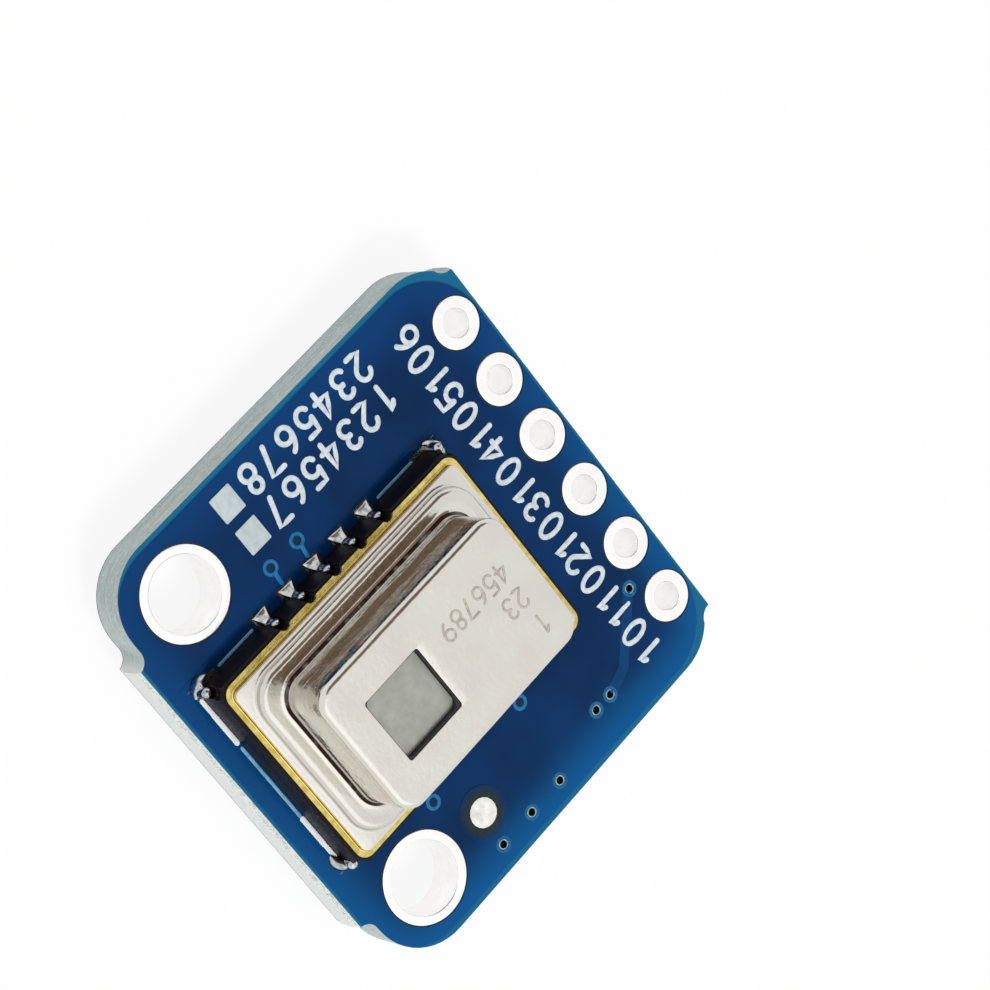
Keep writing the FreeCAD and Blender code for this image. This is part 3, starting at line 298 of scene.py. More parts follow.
def drawn_nickel_finish(look):
    """Nickel-plated drawn sheet: white metal with a faint orange peel and streaks along the bends, and pinkish
    patches along the streaks as painted sheen.

    Drawing leaves bright specks on the walls. The crease, the window's wall and the inside of the sheet are
    painted dark brown as painted shade, the walls a little; a mesh attribute says how much painted shade a point
    takes.
    """
    material = empty_material("nickel_plated_drawn_sheet")
    where, drawn = place_of(material), place_of(material, (3, 4, 1))
    patterns = ((where, 0.2, 2), (where, 0.6, 4), (where, 0.09, 1), (drawn, 0.5, 1), (drawn, 0.5, 3))
    peel, smear, spot, streaks, cloud = (
        node(material, "TexNoise", {"Vector": place, "Scale": 1 / (size * MM), "Detail": detail, "Roughness": SOFT})
        for place, size, detail in patterns
    )
    # Painted reflection: pinkish patches in the streaks stand for a pink sheen.
    nickel_and_pink_sheen = blend(material, cloud, look.nickel, "#d8d2cc")
    # Painted shade: the bend attribute darkens the crease, the window's wall and the sheet's inside towards dark
    # brown.
    bend = node(material, "Attribute", give="Fac", attribute_name="bend")
    patchy = node(material, "MapRange", {"Value": smear, **MIDDLE, "To Min": 0.8, "To Max": 1.3})
    painted_shade = node(material, "Math", {0: bend, 1: patchy}, operation="MULTIPLY")
    share = node(material, "Math", {0: painted_shade, 1: 1.0}, operation="MINIMUM")
    speck = node(material, "MapRange", {"Value": spot, "From Min": 0.64, "From Max": 0.76})
    wall = node(material, "MapRange", {"Value": bend, "From Max": 0.1})
    grit = node(material, "Math", {0: speck, 1: wall}, operation="MULTIPLY")
    wavy = node(material, "Bump", {"Height": streaks, "Distance": 0.028 * MM})
    skin = grained(material, peel, (0.1, 0.18), 0.008 * MM, wavy)
    return shade(material, {
        "Base Color": node(material, "Mix", {0: share, 6: nickel_and_pink_sheen, 7: "#2e1d19"}, 2, data_type="RGBA"),
        "Metallic": 1.0,
        "Roughness": skin["Roughness"],
        "Normal": node(material, "Bump", {"Height": grit, "Distance": 0.003 * MM, "Normal": skin["Normal"]}),
    })


def via_finish():
    """Tin at a small via's mouth, tinted by the mask that creeps over it; the bore below is bare copper, painted
    near black as painted shade down the hole.
    """
    material = empty_material("tin_at_via_mouth")
    where = place_of(material)
    tint, fine = (
        node(material, "TexNoise", {"Vector": where, "Scale": 1 / (size * MM), "Detail": 3, "Roughness": SOFT})
        for size in (0.08, 0.05)
    )
    tin = blend(material, tint, "#a4c6c8", "#6fa3b0")
    level = node(material, "SeparateXYZ", {0: where}, "Z")
    return shade(material, {
        # Painted shade: darker below the mask's top, near black down the bore.
        "Base Color": blend(material, level, "#0f1a1e", tin, MASK_TOP - 0.05 * MM, MASK_TOP),
        "Metallic": 0.6,
        "Roughness": node(material, "MapRange", {"Value": fine, **MIDDLE, "To Min": 0.2, "To Max": 0.35}),
    })


def make_finishes(board, sensor):
    """Every finish, by the record's slot or the piece that it stands for.

    A row of two tones holds the material's name, its two colours, the width of their patches in
    millimetres, the range of its roughness, its grain and the grain's depth in millimetres, and the other
    sockets of the shader. The real grain of plated, glazed and printed skins is a few thousandths of a
    millimetre and wouldn't show, so it is drawn ten times as coarse or more.
    """
    metal, skin = {"Metallic": 1.0}, {"Specular IOR Level": 0.2}
    rows = {
        # Painted shade: gold inside the notches, painted dark grey-brown metal for the shade there; the flange's
        # dent takes it too.
        "dark_metal_painted_shade": ("metal_painted_dark_for_shade", "#2e2924", "#4a4540", 0.1, (0.25, 0.4), 0.04, 0.003, metal),
        # Tinned copper below the solder: the alloy has flowed over it and left it dull; it is painted darker grey
        # as painted shade under the base.
        "land_painted_shade": ("tinned_land_painted_dark", "#77797b", "#a5a7a8", 0.12, (0.12, 0.3), 0.05, 0.006, metal),
        # Mask stretched over a copper edge: thin enough to let the copper's light through.
        "thin_mask": ("solder_mask_over_edge", "#186aa4", "#237db2", 0.15, (0.15, 0.25), 0.1, 0.002, skin),
        # Mask beside an open via: the ink has drawn back from the copper and lets a little of it through.
        "drawn_mask": ("solder_mask_beside_via", "#125389", "#1d6c9c", 0.12, (0.15, 0.25), 0.1, 0.002, skin),
        # Mask over a wide trace: a shade lighter than where it lies on the plain copper layer.
        "trace_mask": ("solder_mask_over_trace", "#0f4478", "#0d3b6b", 0.6, (0.15, 0.25), 0.2, 0.002,
                       {"Specular IOR Level": 0.08}),
        # Mask that has run into a closed hole, where it lies thick: nearly black blue.
        "pooled_mask": ("solder_mask_in_hole", "#041a38", "#062a50", 0.1, (0.15, 0.25), 0.05, 0.002, skin),
        # Laser mark in nickel: matt grey-brown oxide.
        "laser_mark": ("laser_annealed_nickel", "#aca59a", "#c8c2b8", 0.14, (0.3, 0.45), 0.06, 0.008,
                       {"Metallic": 0.9}),
        # Loose glass fibres at a snapped or scored edge: white and matt.
        "fibres": ("frayed_glass_fibres", "#cfd8d5", "#eef1ef", 0.1, (0.6, 0.8), 0.03, 0.01, {}),
        # Hot-dipped tin: near white, softly uneven, with wide dull patches.
        "tin": ("levelled_tin", "#fefdfb", "#f8f7f5", 0.6, (0.1, 0.2), 0.2, 0.0015, metal),
        # Tinned copper land: the same metal, thinner and a little greyer.
        "copper_land": ("tinned_copper_land", "#f4f3ee", "#d9d6cc", 0.3, (0.15, 0.32), 0.1, 0.004, metal),
        # Reflowed solder: bright with a frosted crystalline skin.
        "solder": ("reflowed_solder", "#dadbdb", "#9a9c9e", 0.2, (0.1, 0.22), 0.12, 0.004, metal),
        # Fired alumina pigmented near black: fine grain, faint brown.
        "ceramic": ("dark_fired_alumina", sensor.ceramic, "#171013", 0.8, (0.35, 0.5), 0.05, 0.003,
                    {"Specular IOR Level": 0.18}),
        # Electroplated gold over nickel: satin yellow metal.
        "gold": ("gold_plate", sensor.gold, "#bfa956", 0.3, (0.16, 0.32), 0.08, 0.005, metal),
        # Gold and silver braze squeezed out of the seal: a brighter, yellower line than the plating.
        "braze": ("bright_gold_braze", "#f3df8a", "#e2c45c", 0.3, (0.12, 0.24), 0.06, 0.006, metal),
        # Coated silicon: flat mid grey with a soft mottle and a low sheen.
        "silicon_lens": ("coated_silicon", sensor.silicon, "#acada5", 0.35, (0.38, 0.5), 0.06, 0.003,
                         {"Metallic": 0.35}),
        # Cured black epoxy bead: rubbery semi-gloss; it also stands as painted shade in the gap beside the lens.
        "bond": ("cured_epoxy_bead_painted_shade", "#101012", "#1b1b1d", 0.3, (0.35, 0.5), 0.08, 0.004, {}),
        # Diced silicon: slate grey and mirror-smooth.
        "silicon_chip": ("diced_silicon", "#55565f", "#6a6b74", 0.4, (0.1, 0.18), 0.1, 0.0005, {"Metallic": 0.6}),
        # Epoxy moulding compound: charcoal with the mould's spark-eroded grain.
        "moulding": ("moulding_compound", "#1d1d20", "#29292c", 0.5, (0.5, 0.7), 0.05, 0.004, {}),
        # Tinned lead frame: stamped sheet with a matt tin skin.
        "leads": ("tinned_lead_frame", "#d2d2d0", "#b9b9b6", 0.2, (0.28, 0.42), 0.05, 0.002, metal),
        # Overglaze on an alumina chip: glassy black.
        "resistor_body": ("black_overglaze", "#17171a", "#222226", 0.3, (0.15, 0.3), 0.06, 0.002, {}),
        # Fired titanate: matt tan with a faint speckle.
        "capacitor_body": ("fired_titanate", "#a08162", "#8c6d50", 0.2, (0.4, 0.6), 0.04, 0.003, {}),
        # Screened epoxy ink: matt cool white, a little uneven where the mesh left it thin.
        "ink": ("printed_epoxy_ink", board.ink, "#c6d5de", 0.2, (0.5, 0.65), 0.05, 0.004, {"IOR": 1.5}),
        # The same ink as a wide block: thinner in its middle, so the blue greys it.
        "ink_block": ("printed_epoxy_block", "#ccd7d8", "#bccacd", 0.25, (0.5, 0.65), 0.05, 0.004, {"IOR": 1.5}),
        # The same ink painted full white with a slight shine: painted light against the base's shadow on the
        # outline's foot.
        "ink_painted_bright": ("epoxy_ink_painted_bright", "#fbfbfb", "#eef1f3", 0.3, (0.4, 0.55), 0.05, 0.004, {"IOR": 1.5}),
        # The same ink where it printed thin: pale blue, since the mask shows through.
        "thin_ink": ("thin_epoxy_ink", "#8fb7cf", "#6c9dbd", 0.3, (0.45, 0.6), 0.05, 0.004,
                     {"Specular IOR Level": 0.3}),
    }
    return {
        **{slot: two_tone(*row) for slot, row in rows.items()},
        "via_tin": via_finish(),
        "laminate": laminate_finish(board),
        "mask": solder_mask_finish(board),
        "cap_metal": drawn_nickel_finish(sensor),
    }


# Meshes

def closed_grid(grid, wrap=False, poles=None):
    """Points and faces of a grid whose columns run round a loop.

    Neighbouring rows are joined by four-sided faces. The last row is joined to the first where wrap is
    set, and otherwise each end is closed by a fan to its pole. Faces are turned outwards by the sign of
    the volume, the sum of the corner triple products over six.
    """
    rows, columns = grid.shape[:2]
    index = np.arange(rows * columns).reshape(rows, columns)
    beside = np.roll(index, -1, axis=1)
    if wrap:
        above, above_beside = np.roll(index, -1, axis=0), np.roll(beside, -1, axis=0)
        quads = np.stack([index, beside, above_beside, above], axis=-1).reshape(-1, 4)
        points, faces = grid.reshape(-1, 3), [quads]
    else:
        quads = np.stack([index[:-1], beside[:-1], beside[1:], index[1:]], axis=-1).reshape(-1, 4)
        first, last = rows * columns, rows * columns + 1
        low = np.stack([beside[0], index[0], np.full(columns, first)], axis=-1)
        high = np.stack([index[-1], beside[-1], np.full(columns, last)], axis=-1)
        points, faces = np.vstack([grid.reshape(-1, 3), poles]), [quads, low, high]
    corners = np.vstack([np.vstack([f[:, [0, 1, 2]], f[:, [0, 2, 3]]]) if f.shape[1] == 4 else f for f in faces])
    a, b, c = (points[corners[:, k]] - points.mean(axis=0) for k in range(3))
    if np.einsum("ij,ij->i", a, np.cross(b, c)).sum() < 0:
        faces = [f[:, ::-1] for f in faces]
    return points, faces


def piece(name, shells, material, replaces=(), attribute=None):
    """One object from several closed shells, riding on the body.

    An attribute is a name, and a value for each point.
    """
    points, faces, count = [], [], 0
    for shell_points, shell_faces in shells:
        points.append(shell_points)
        for block in shell_faces:
            faces += (block + count).tolist()
        count += len(shell_points)
    mesh = bpy.data.meshes.new(name)
    mesh.from_pydata(np.vstack(points).tolist(), [], faces)
    mesh.polygons.foreach_set("use_smooth", np.ones(len(mesh.polygons), bool))
    mesh.update()
    mesh.materials.append(material)
    if attribute is not None:
        label, values = attribute
        mesh.attributes.new(label, "FLOAT", "POINT").data.foreach_set("value", values)
    made = bpy.data.objects.new(name, mesh)
    bpy.context.scene.collection.objects.link(made)
    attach(made, BODY)
    if replaces:
        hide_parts(*replaces)
    return made


def corner_arcs(half, radii, steps):
    """Quarter circles at the four corners of a rectangle, by the rounding of each, in the order of their angles."""
    arcs = []
    for k, ((x, y), radius) in enumerate(zip(((1, 1), (-1, 1), (-1, -1), (1, -1)), radii)):
        turn = math.pi / 2 * (k + np.linspace(0, 1, steps + 1))
        hub = np.array([x * (half[0] - radius), y * (half[1] - radius)])
        arcs.append(hub + radius * np.stack([np.cos(turn), np.sin(turn)], axis=1))
    return arcs


def rounded_loop(half_width, half_length, radius, middle=(0, 0), corner=14, side=24):
    """Points round a rectangle with round corners: a quarter circle at each corner, then an even side."""
    radius = min(radius, half_width, half_length)
    arcs = corner_arcs((half_width, half_length), (radius,) * 4, corner)
    share = np.linspace(0, 1, side + 1)[1:-1, None]
    parts = []
    for turned_corner, following in zip(arcs, arcs[1:] + arcs[:1]):
        parts += [turned_corner, turned_corner[-1] * (1 - share) + following[0] * share]
    return np.vstack(parts) + np.array(middle)


def ribbon(path, width, height, level, closed=False, steps=9, end_steps=5):
    """Low rounded bead along a flat path.

    Across the path the section is half of an ellipse standing on a flat base. At the two ends of an
    open path both of its sizes fall along a quarter circle, so the ends are round, and a pole just past
    the last section closes them.
    """
    path = np.asarray(path, float)
    if closed:
        ahead = np.roll(path, -1, axis=0) - np.roll(path, 1, axis=0)
        scale = np.ones(len(path))
    else:
        ahead = np.gradient(path, axis=0)
        turn = np.linspace(0, math.pi / 2, end_steps + 1)[1:]
        ends = 1 - np.cos(turn)
        start_way = (path[0] - path[1]) / np.linalg.norm(path[0] - path[1])
        end_way = (path[-1] - path[-2]) / np.linalg.norm(path[-1] - path[-2])
        before = path[0] + start_way * (width / 2 * (1 - ends))[:, None]
        after = path[-1] + end_way * (width / 2 * (1 - ends[::-1]))[:, None]
        scale = np.concatenate([np.sin(turn), np.ones(len(path)), np.sin(turn[::-1])])
        path = np.vstack([before, path, after])
        ahead = np.vstack([np.tile(ahead[0], (end_steps, 1)), ahead, np.tile(ahead[-1], (end_steps, 1))])
    ahead /= np.linalg.norm(ahead, axis=1)[:, None]
    aside = np.stack([-ahead[:, 1], ahead[:, 0]], axis=1)
    turn = np.linspace(0, math.pi, steps)
    across, up = np.cos(turn) * width / 2, np.sin(turn) * height
    flat = path[:, None, :] + aside[:, None, :] * across[None, :, None] * scale[:, None, None]
    rise = level + up[None, :] * scale[:, None]
    grid = np.concatenate([flat, rise[:, :, None]], axis=2)
    if closed:
        return closed_grid(grid, wrap=True)
    past = 0.02 * width
    poles = [[*(path[0] + start_way * past), level], [*(path[-1] + end_way * past), level]]
    return closed_grid(grid, poles=np.array(poles))


def slab(half_width, half_length, radius, middle, level, height, soften):
    """Flat pad with round corners and a softened upper rim, closed by a pole below and one above."""
    turn = np.linspace(0, math.pi / 2, 5)
    rows = [(0, level)]
    rows += [(soften * (1 - math.cos(a)), level + height - soften + soften * math.sin(a)) for a in turn]
    grid = []
    for inset, z in rows:
        loop = rounded_loop(half_width - inset, half_length - inset, max(radius - inset, 1e-6), middle, 4, 3)
        grid.append(np.column_stack([loop, np.full(len(loop), z)]))
    poles = np.array([[*middle, level], [*middle, level + height]])
    return closed_grid(np.array(grid), poles=poles)


def loops(rows, corner=14, side=24):
    """Grid of rounded rectangles; a row is (half width, half length, radius, height, shift along)."""
    grid = []
    for half_width, half_length, radius, height, shift in rows:
        flat = rounded_loop(half_width, half_length, radius, (0, shift), corner, side)
        grid.append(np.column_stack([flat, np.full(len(flat), height)]))
    return np.array(grid)


def quarter(centre, radius, start, end, count=9):
    """Points along part of a circle in a section, from one angle to another in degrees."""
    turn = np.radians(np.linspace(start, end, count))
    return np.column_stack([centre[0] + radius * np.cos(turn), centre[1] + radius * np.sin(turn)])


def turned(profile, middle, segments=72):
    """Ring whose closed profile of (radius, height) runs round the upright axis through the middle."""
    profile = np.asarray(profile, float)
    turn = np.linspace(0, 2 * math.pi, segments + 1)[:-1]
    grid = np.stack([
        middle[0] + profile[:, :1] * np.cos(turn),
        middle[1] + profile[:, :1] * np.sin(turn),
        np.repeat(profile[:, 1:], segments, axis=1),
    ], axis=2)
    return closed_grid(grid, wrap=True)


def bead(path, half_width, height, level, steps=13):
    """Closed bead along a flat path whose half width and height are given at each point of it.

    The section is half of an ellipse standing on a flat base; both ends close to a pole.
    """
    path = np.asarray(path, float)
    ahead = np.gradient(path, axis=0)
    ahead /= np.linalg.norm(ahead, axis=1)[:, None]
    aside = np.stack([-ahead[:, 1], ahead[:, 0]], axis=1)
    turn = np.linspace(0, math.pi, steps)
    flat = path[:, None, :] + aside[:, None, :] * (np.cos(turn)[None, :] * half_width[:, None])[:, :, None]
    rise = level + np.sin(turn)[None, :] * height[:, None]
    grid = np.concatenate([flat, rise[:, :, None]], axis=2)
    return closed_grid(grid, poles=np.array([[*path[0], level], [*path[-1], level]]))


def column(middle, half, low, high, steps=16, sides=24):
    """Upright rod with a round top: an ellipse whose size falls along a quarter circle at the top."""
    share = np.concatenate([np.linspace(0, 0.75, steps), 0.75 + 0.25 * np.sin(np.linspace(0.1, 1.5, 8))])
    size = np.concatenate([np.ones(steps), np.cos(np.linspace(0.1, 1.5, 8))])
    turn = np.linspace(0, 2 * math.pi, sides + 1)[:-1]
    grid = np.stack([
        middle[0] + half[0] * size[:, None] * np.cos(turn),
        middle[1] + half[1] * size[:, None] * np.sin(turn),
        np.repeat((low + (high - low) * share)[:, None], sides, axis=1),
    ], axis=2)
    return closed_grid(grid, poles=np.array([[*middle, low], [*middle, high]]))


def placed(shell, across, along, level, turn):
    """A shell turned about the upright axis by degrees and moved to its place."""
    points, faces = shell
    angle = math.radians(turn)
    spin = np.array([[math.cos(angle), math.sin(angle), 0], [-math.sin(angle), math.cos(angle), 0], [0, 0, 1]])
    return points @ spin + np.array([across, along, level]), faces


# Plain figures, drawn as strokes in a box one unit wide and one high

def arc(x, y, across, up, start, end, count=14):
    """Points along part of an ellipse, from one angle to another in degrees."""
    turn = np.radians(np.linspace(start, end, count))
    return np.column_stack([x + across * np.cos(turn), y + up * np.sin(turn)])


def figure_strokes(figure):
    """Strokes of one figure as (points, closed): straight runs and parts of ellipses; a nine is a six turned."""
    shapes = {
        "0": [(arc(0.5, 0.5, 0.42, 0.5, 0, 360, 33)[:-1], True)],
        "1": [([(0.2, 0.76), (0.34, 0.88), (0.52, 1), (0.52, 0.5), (0.52, 0)], False)],
        "2": [(np.vstack([arc(0.5, 0.7, 0.42, 0.3, 165, -35), [(0.08, 0.02), (0.5, 0), (0.94, 0)]]), False)],
        "3": [(arc(0.46, 0.75, 0.38, 0.25, 150, -90), False), (arc(0.46, 0.26, 0.44, 0.26, 90, -150), False)],
        "4": [([(0.72, 0), (0.72, 0.5), (0.72, 1), (0.36, 0.64), (0.04, 0.3), (0.5, 0.3), (0.98, 0.3)], False)],
        "5": [([(0.86, 1), (0.5, 1), (0.16, 1), (0.12, 0.76), (0.08, 0.52)], False),
              (arc(0.46, 0.32, 0.44, 0.32, 148, -150), False)],
        "6": [(arc(1.0, 0.3, 0.94, 0.7, 118, 178), False), (arc(0.5, 0.28, 0.44, 0.28, 0, 360, 29)[:-1], True)],
        "7": [([(0.06, 1), (0.5, 1), (0.94, 1), (0.66, 0.5), (0.4, 0)], False)],
        "8": [(arc(0.5, 0.76, 0.36, 0.24, 0, 360, 27)[:-1], True),
              (arc(0.5, 0.27, 0.44, 0.27, 0, 360, 29)[:-1], True)],
    }
    shapes["9"] = [(1 - points, closed) for points, closed in shapes["6"]]
    return [(np.array(points, float), closed) for points, closed in shapes[figure]]


def figures(text, corner, reading, upward, glyph, pitch, stroke, height, level):
    """Beads for a row of figures.

    A point is the row's corner, plus its share of the glyph's width and the figure's place along the
    reading direction, plus its share of the glyph's height along the upward direction.
    """
    shells = []
    for place, figure in enumerate(text):
        for points, closed in figure_strokes(figure):
            along = points[:, :1] * glyph[0] + place * pitch
            flat = np.array(corner) + along * np.array(reading) + points[:, 1:] * glyph[1] * np.array(upward)
            shells.append(ribbon(flat, stroke, height, level, closed))
    return shells


# Operators

class ModuleOperator:
    """What every step shares: it can be undone, and its work is in build."""
    bl_options = {"REGISTER", "UNDO"}

    def execute(self, context):
        self.build(context.scene)
        return {"FINISHED"}


FINISHES = {}  # materials by slot or piece, filled by the first step


class MODULE_OT_finishes(ModuleOperator, bpy.types.Operator):
    """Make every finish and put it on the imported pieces"""
    bl_idname = "module.finishes"
    bl_label = "Finishes"

    def build(self, scene):
        FINISHES.update(make_finishes(scene.board_look, scene.sensor_look))
        slots = {row["node"]: row["material_slot"] for row in frame["record"]["subparts"]}
        # Painted shade: the terminals in the notches take the dark metal.
        slots.update({name: "dark_metal_painted_shade" for name in slots if name.startswith("terminal")})
        # Painted shade: the lands under the base take a darker grey.
        slots["sensor_lands"] = "land_painted_shade"
        for name, shown in frame["nodes"].items():
            material = FINISHES[slots[name]]
            if shown.material_slots:
                for slot in shown.material_slots:
                    slot.material = material
            else:
                shown.data.materials.append(material)


class MODULE_OT_printing(ModuleOperator, bpy.types.Operator):
    """Print the pin numbers, two rows of plain numbers, the squares and the sensor's outline"""
    bl_idname = "module.printing"
    bl_label = "Printed markings"

    def build(self, scene):
        look = scene.board_look
        row, pins = HEADER_MIDDLE.y, 6
        pen = (look.stroke, look.ink_height, MASK_TOP)
        glyph, pitch = (0.62 * MM, 1.0 * MM), 0.9 * MM
        shells = []
        for pin in range(pins):
            hole = HEADER_MIDDLE.x + HEADER_PITCH * ((pins - 1) / 2 - pin)
            corner = (hole + 1.21 * MM, row - 1.33 * MM)
            shells += figures(str(101 + pin), corner, (-1, 0), (0, -1), glyph, pitch, *pen)
        for across, text in ((-8.22, "2345678"), (-6.82, "1234567")):
            shells += figures(text, (across * MM, row - 3.4 * MM), (0, -1), (1, 0), glyph, pitch, *pen)
        piece("printed_numbers", shells, FINISHES["ink"])

        half, corner, rim = (0.5 * MM, 0.46 * MM), 0.05 * MM, 0.01 * MM
        squares = [
            slab(*half, corner, (across * MM, row - 10.29 * MM), MASK_TOP, look.ink_height, rim)
            for across in (-7.72, -6.33)
        ]
        piece("printed_squares", squares, FINISHES["ink_block"])

        # The outline's foot and its left side; the printer left parts of it thick, thin or bare. The thick parts
        # are painted full white, as painted light against the base's shadow.
        foot, side = row - 15.23 * MM, -4.07 * MM
        thick = [self.line((begin, foot), (finish, foot), 12, 0.19 * MM, look.ink_height)
                 for begin, finish in ((-3.65 * MM, -1.75 * MM), (1.8 * MM, 3.6 * MM))]
        piece("printed_outline", thick, FINISHES["ink_painted_bright"])
        thin = [self.line((-1.5 * MM, foot), (1.65 * MM, foot), 16, 0.12 * MM, look.ink_height)]
        thin += [self.line((side, row + begin * MM), (side, row + finish * MM), 12, 0.11 * MM, look.ink_height)
                 for begin, finish in ((-4.4, -6.1), (-12.4, -14.0))]
        piece("faint_outline", thin, FINISHES["thin_ink"])

    def line(self, begin, finish, count, width, height):
        """Printed line between two points: a straight path of evenly spaced points."""
        return ribbon(np.linspace(begin, finish, count), width, height, MASK_TOP)


class MODULE_OT_plating(ModuleOperator, bpy.types.Operator):
    """Turn the plated holes, their lands rounded where plating and hot tin leave them soft"""
    bl_idname = "module.plating"
    bl_label = "Plated holes"

    def build(self, scene):
        mounting_hole, header_hole = 1.3 * MM, 0.5 * MM
        shells = []
        names = [name for name in frame["nodes"] if "eyelet" in name]
        for name in names:
            low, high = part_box(name)
            hole = mounting_hole if name.startswith("mounting") else header_hole
            middle = (low + high) / 2
            shells.append(turned(self.section(hole, (high.x - low.x) / 2, low.z, high.z), (middle.x, middle.y)))
        piece("plated_holes", shells, FINISHES["tin"], names)

    def section(self, hole, land, low, high):
        """Closed section of an eyelet: bore, rounded lip, land with a rounded rim, barrel, and the other face."""
        wall, copper, lip, rim = 0.05 * MM, 0.04 * MM, 0.04 * MM, 0.025 * MM
        upper = np.vstack([
            quarter((hole + lip, high - lip), lip, 180, 90),
            quarter((land - rim, high - rim), rim, 90, 0, 6),
            [(land, high - copper), (hole + wall, high - copper)],
        ])
        lower = upper[::-1] * (1, -1) + (0, low + high)
        return np.vstack([upper, lower])


class MODULE_OT_vias(ModuleOperator, bpy.types.Operator):
    """Raise the mask over the small vias, their rings and the traces that leave them"""
    bl_idname = "module.vias"
    bl_label = "Vias and traces"

    def build(self, scene):
        def places(*pairs):
            """Points in metres from millimetres off the middle of the header row."""
            return np.array(pairs) * MM + (0, HEADER_MIDDLE.y)

        height, bore, ring = 0.015 * MM, 0.16 * MM, 0.29 * MM
        open_vias = places((5.09, -0.96), (7.26, -3.97), (7.26, -4.74), (8.0, -7.4), (8.0, -8.92), (8.0, -10.44))
        closed_vias = places((-5.1, -9.25), (-5.1, -10.55), (4.87, -6.75), (4.95, -11.4))
        rims = [turned(self.collar(VIA_WALL, 0.3 * MM, height), middle, 40) for middle in open_vias]
        piece("mask_at_vias", rims, FINISHES["drawn_mask"])
        barrels = [turned(self.barrel(), middle, 32) for middle in open_vias]
        piece("open_vias", barrels, FINISHES["via_tin"], ["via_barrels"])

        collars = [turned(self.collar(bore, ring, height), middle, 40) for middle in closed_vias]
        for middle, end in zip(closed_vias, places((-4.46, -9.3), (-4.46, -10.58))):
            path = np.linspace(middle + (0.28 * MM, 0), end, 10)
            collars.append(ribbon(path, 0.16 * MM, height, MASK_TOP))
        piece("mask_over_vias", collars, FINISHES["thin_mask"])
        pools = [slab(bore, bore, bore, middle, MASK_TOP, height * 0.6, height * 0.3) for middle in closed_vias]
        piece("mask_in_vias", pools, FINISHES["pooled_mask"])

        start, bend, end = places((5.25, -1.2), (6.95, -2.95), (7.2, -3.7))
        path = np.vstack([np.linspace(start, bend, 14), np.linspace(bend, end, 14)[1:]])
        piece("trace_ridge", [ribbon(path, 0.42 * MM, 0.012 * MM, MASK_TOP)], FINISHES["trace_mask"])

    def barrel(self):
        """Closed section of an open via: bore, round mouth, and down inside the board."""
        hole, lip = 0.135 * MM, 0.027 * MM
        low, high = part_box("via_barrels")
        mouth = quarter((hole + lip, high.z - lip), lip, 180, 0)
        return np.vstack([mouth, [(VIA_WALL, low.z), (hole, low.z)]])

    def collar(self, inner, outer, height):
        """Closed section of a low ring: half of an ellipse between two radii."""
        turn = np.linspace(0, math.pi, 9)
        middle, half = (inner + outer) / 2, (outer - inner) / 2
        return np.column_stack([middle - half * np.cos(turn), MASK_TOP + height * np.sin(turn)])


class MODULE_OT_wells(ModuleOperator, bpy.types.Operator):
    """Fill the mask's openings to their real edges: round the alignment dot and at the sensor's corners"""
    bl_idname = "module.wells"
    bl_label = "Mask openings"

    def build(self, scene):
        low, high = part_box("fiducial_dot")
        middle = (low + high) / 2
        inner, outer = (high.x - low.x) / 2, 0.97 * MM
        clear, film = 0.01 * MM, low.z + 0.012 * MM
        share = np.linspace(0.1, 1, 12)
        slope = np.column_stack([
            inner + (outer - inner) * share, film + (MASK_TOP + 0.004 * MM - film) * share ** 2,
        ])
        profile = np.vstack([[(inner + clear, low.z), (inner + clear, film)], slope, [(outer, low.z)]])
        finish = solder_mask_finish(scene.board_look, ((middle.x, middle.y, 0), inner, outer))
        piece("fiducial_well", [turned(profile, (middle.x, middle.y), 64)], finish)

        # Two strips at each corner of the base, by their half sizes and how far out their middle lies.
        strips = (((0.13, 0.71), (0.31, -0.27)), ((0.57, 0.13), (-0.4, 0.31)))
        thick, rim = MASK_TOP - BOARD_HIGH.z + 0.012 * MM, 0.004 * MM
        patches = []
        for x, y in ((-1, -1), (-1, 1), (1, -1), (1, 1)):
            corner = np.array([BASE_HIGH.x if x > 0 else BASE_LOW.x, BASE_HIGH.y if y > 0 else BASE_LOW.y])
            for half, out in strips:
                place = corner + np.array(out) * (x, y) * MM
                patches.append(slab(half[0] * MM, half[1] * MM, 0.01 * MM, place, BOARD_HIGH.z, thick, rim))
        piece("mask_at_corners", patches, FINISHES["mask"])


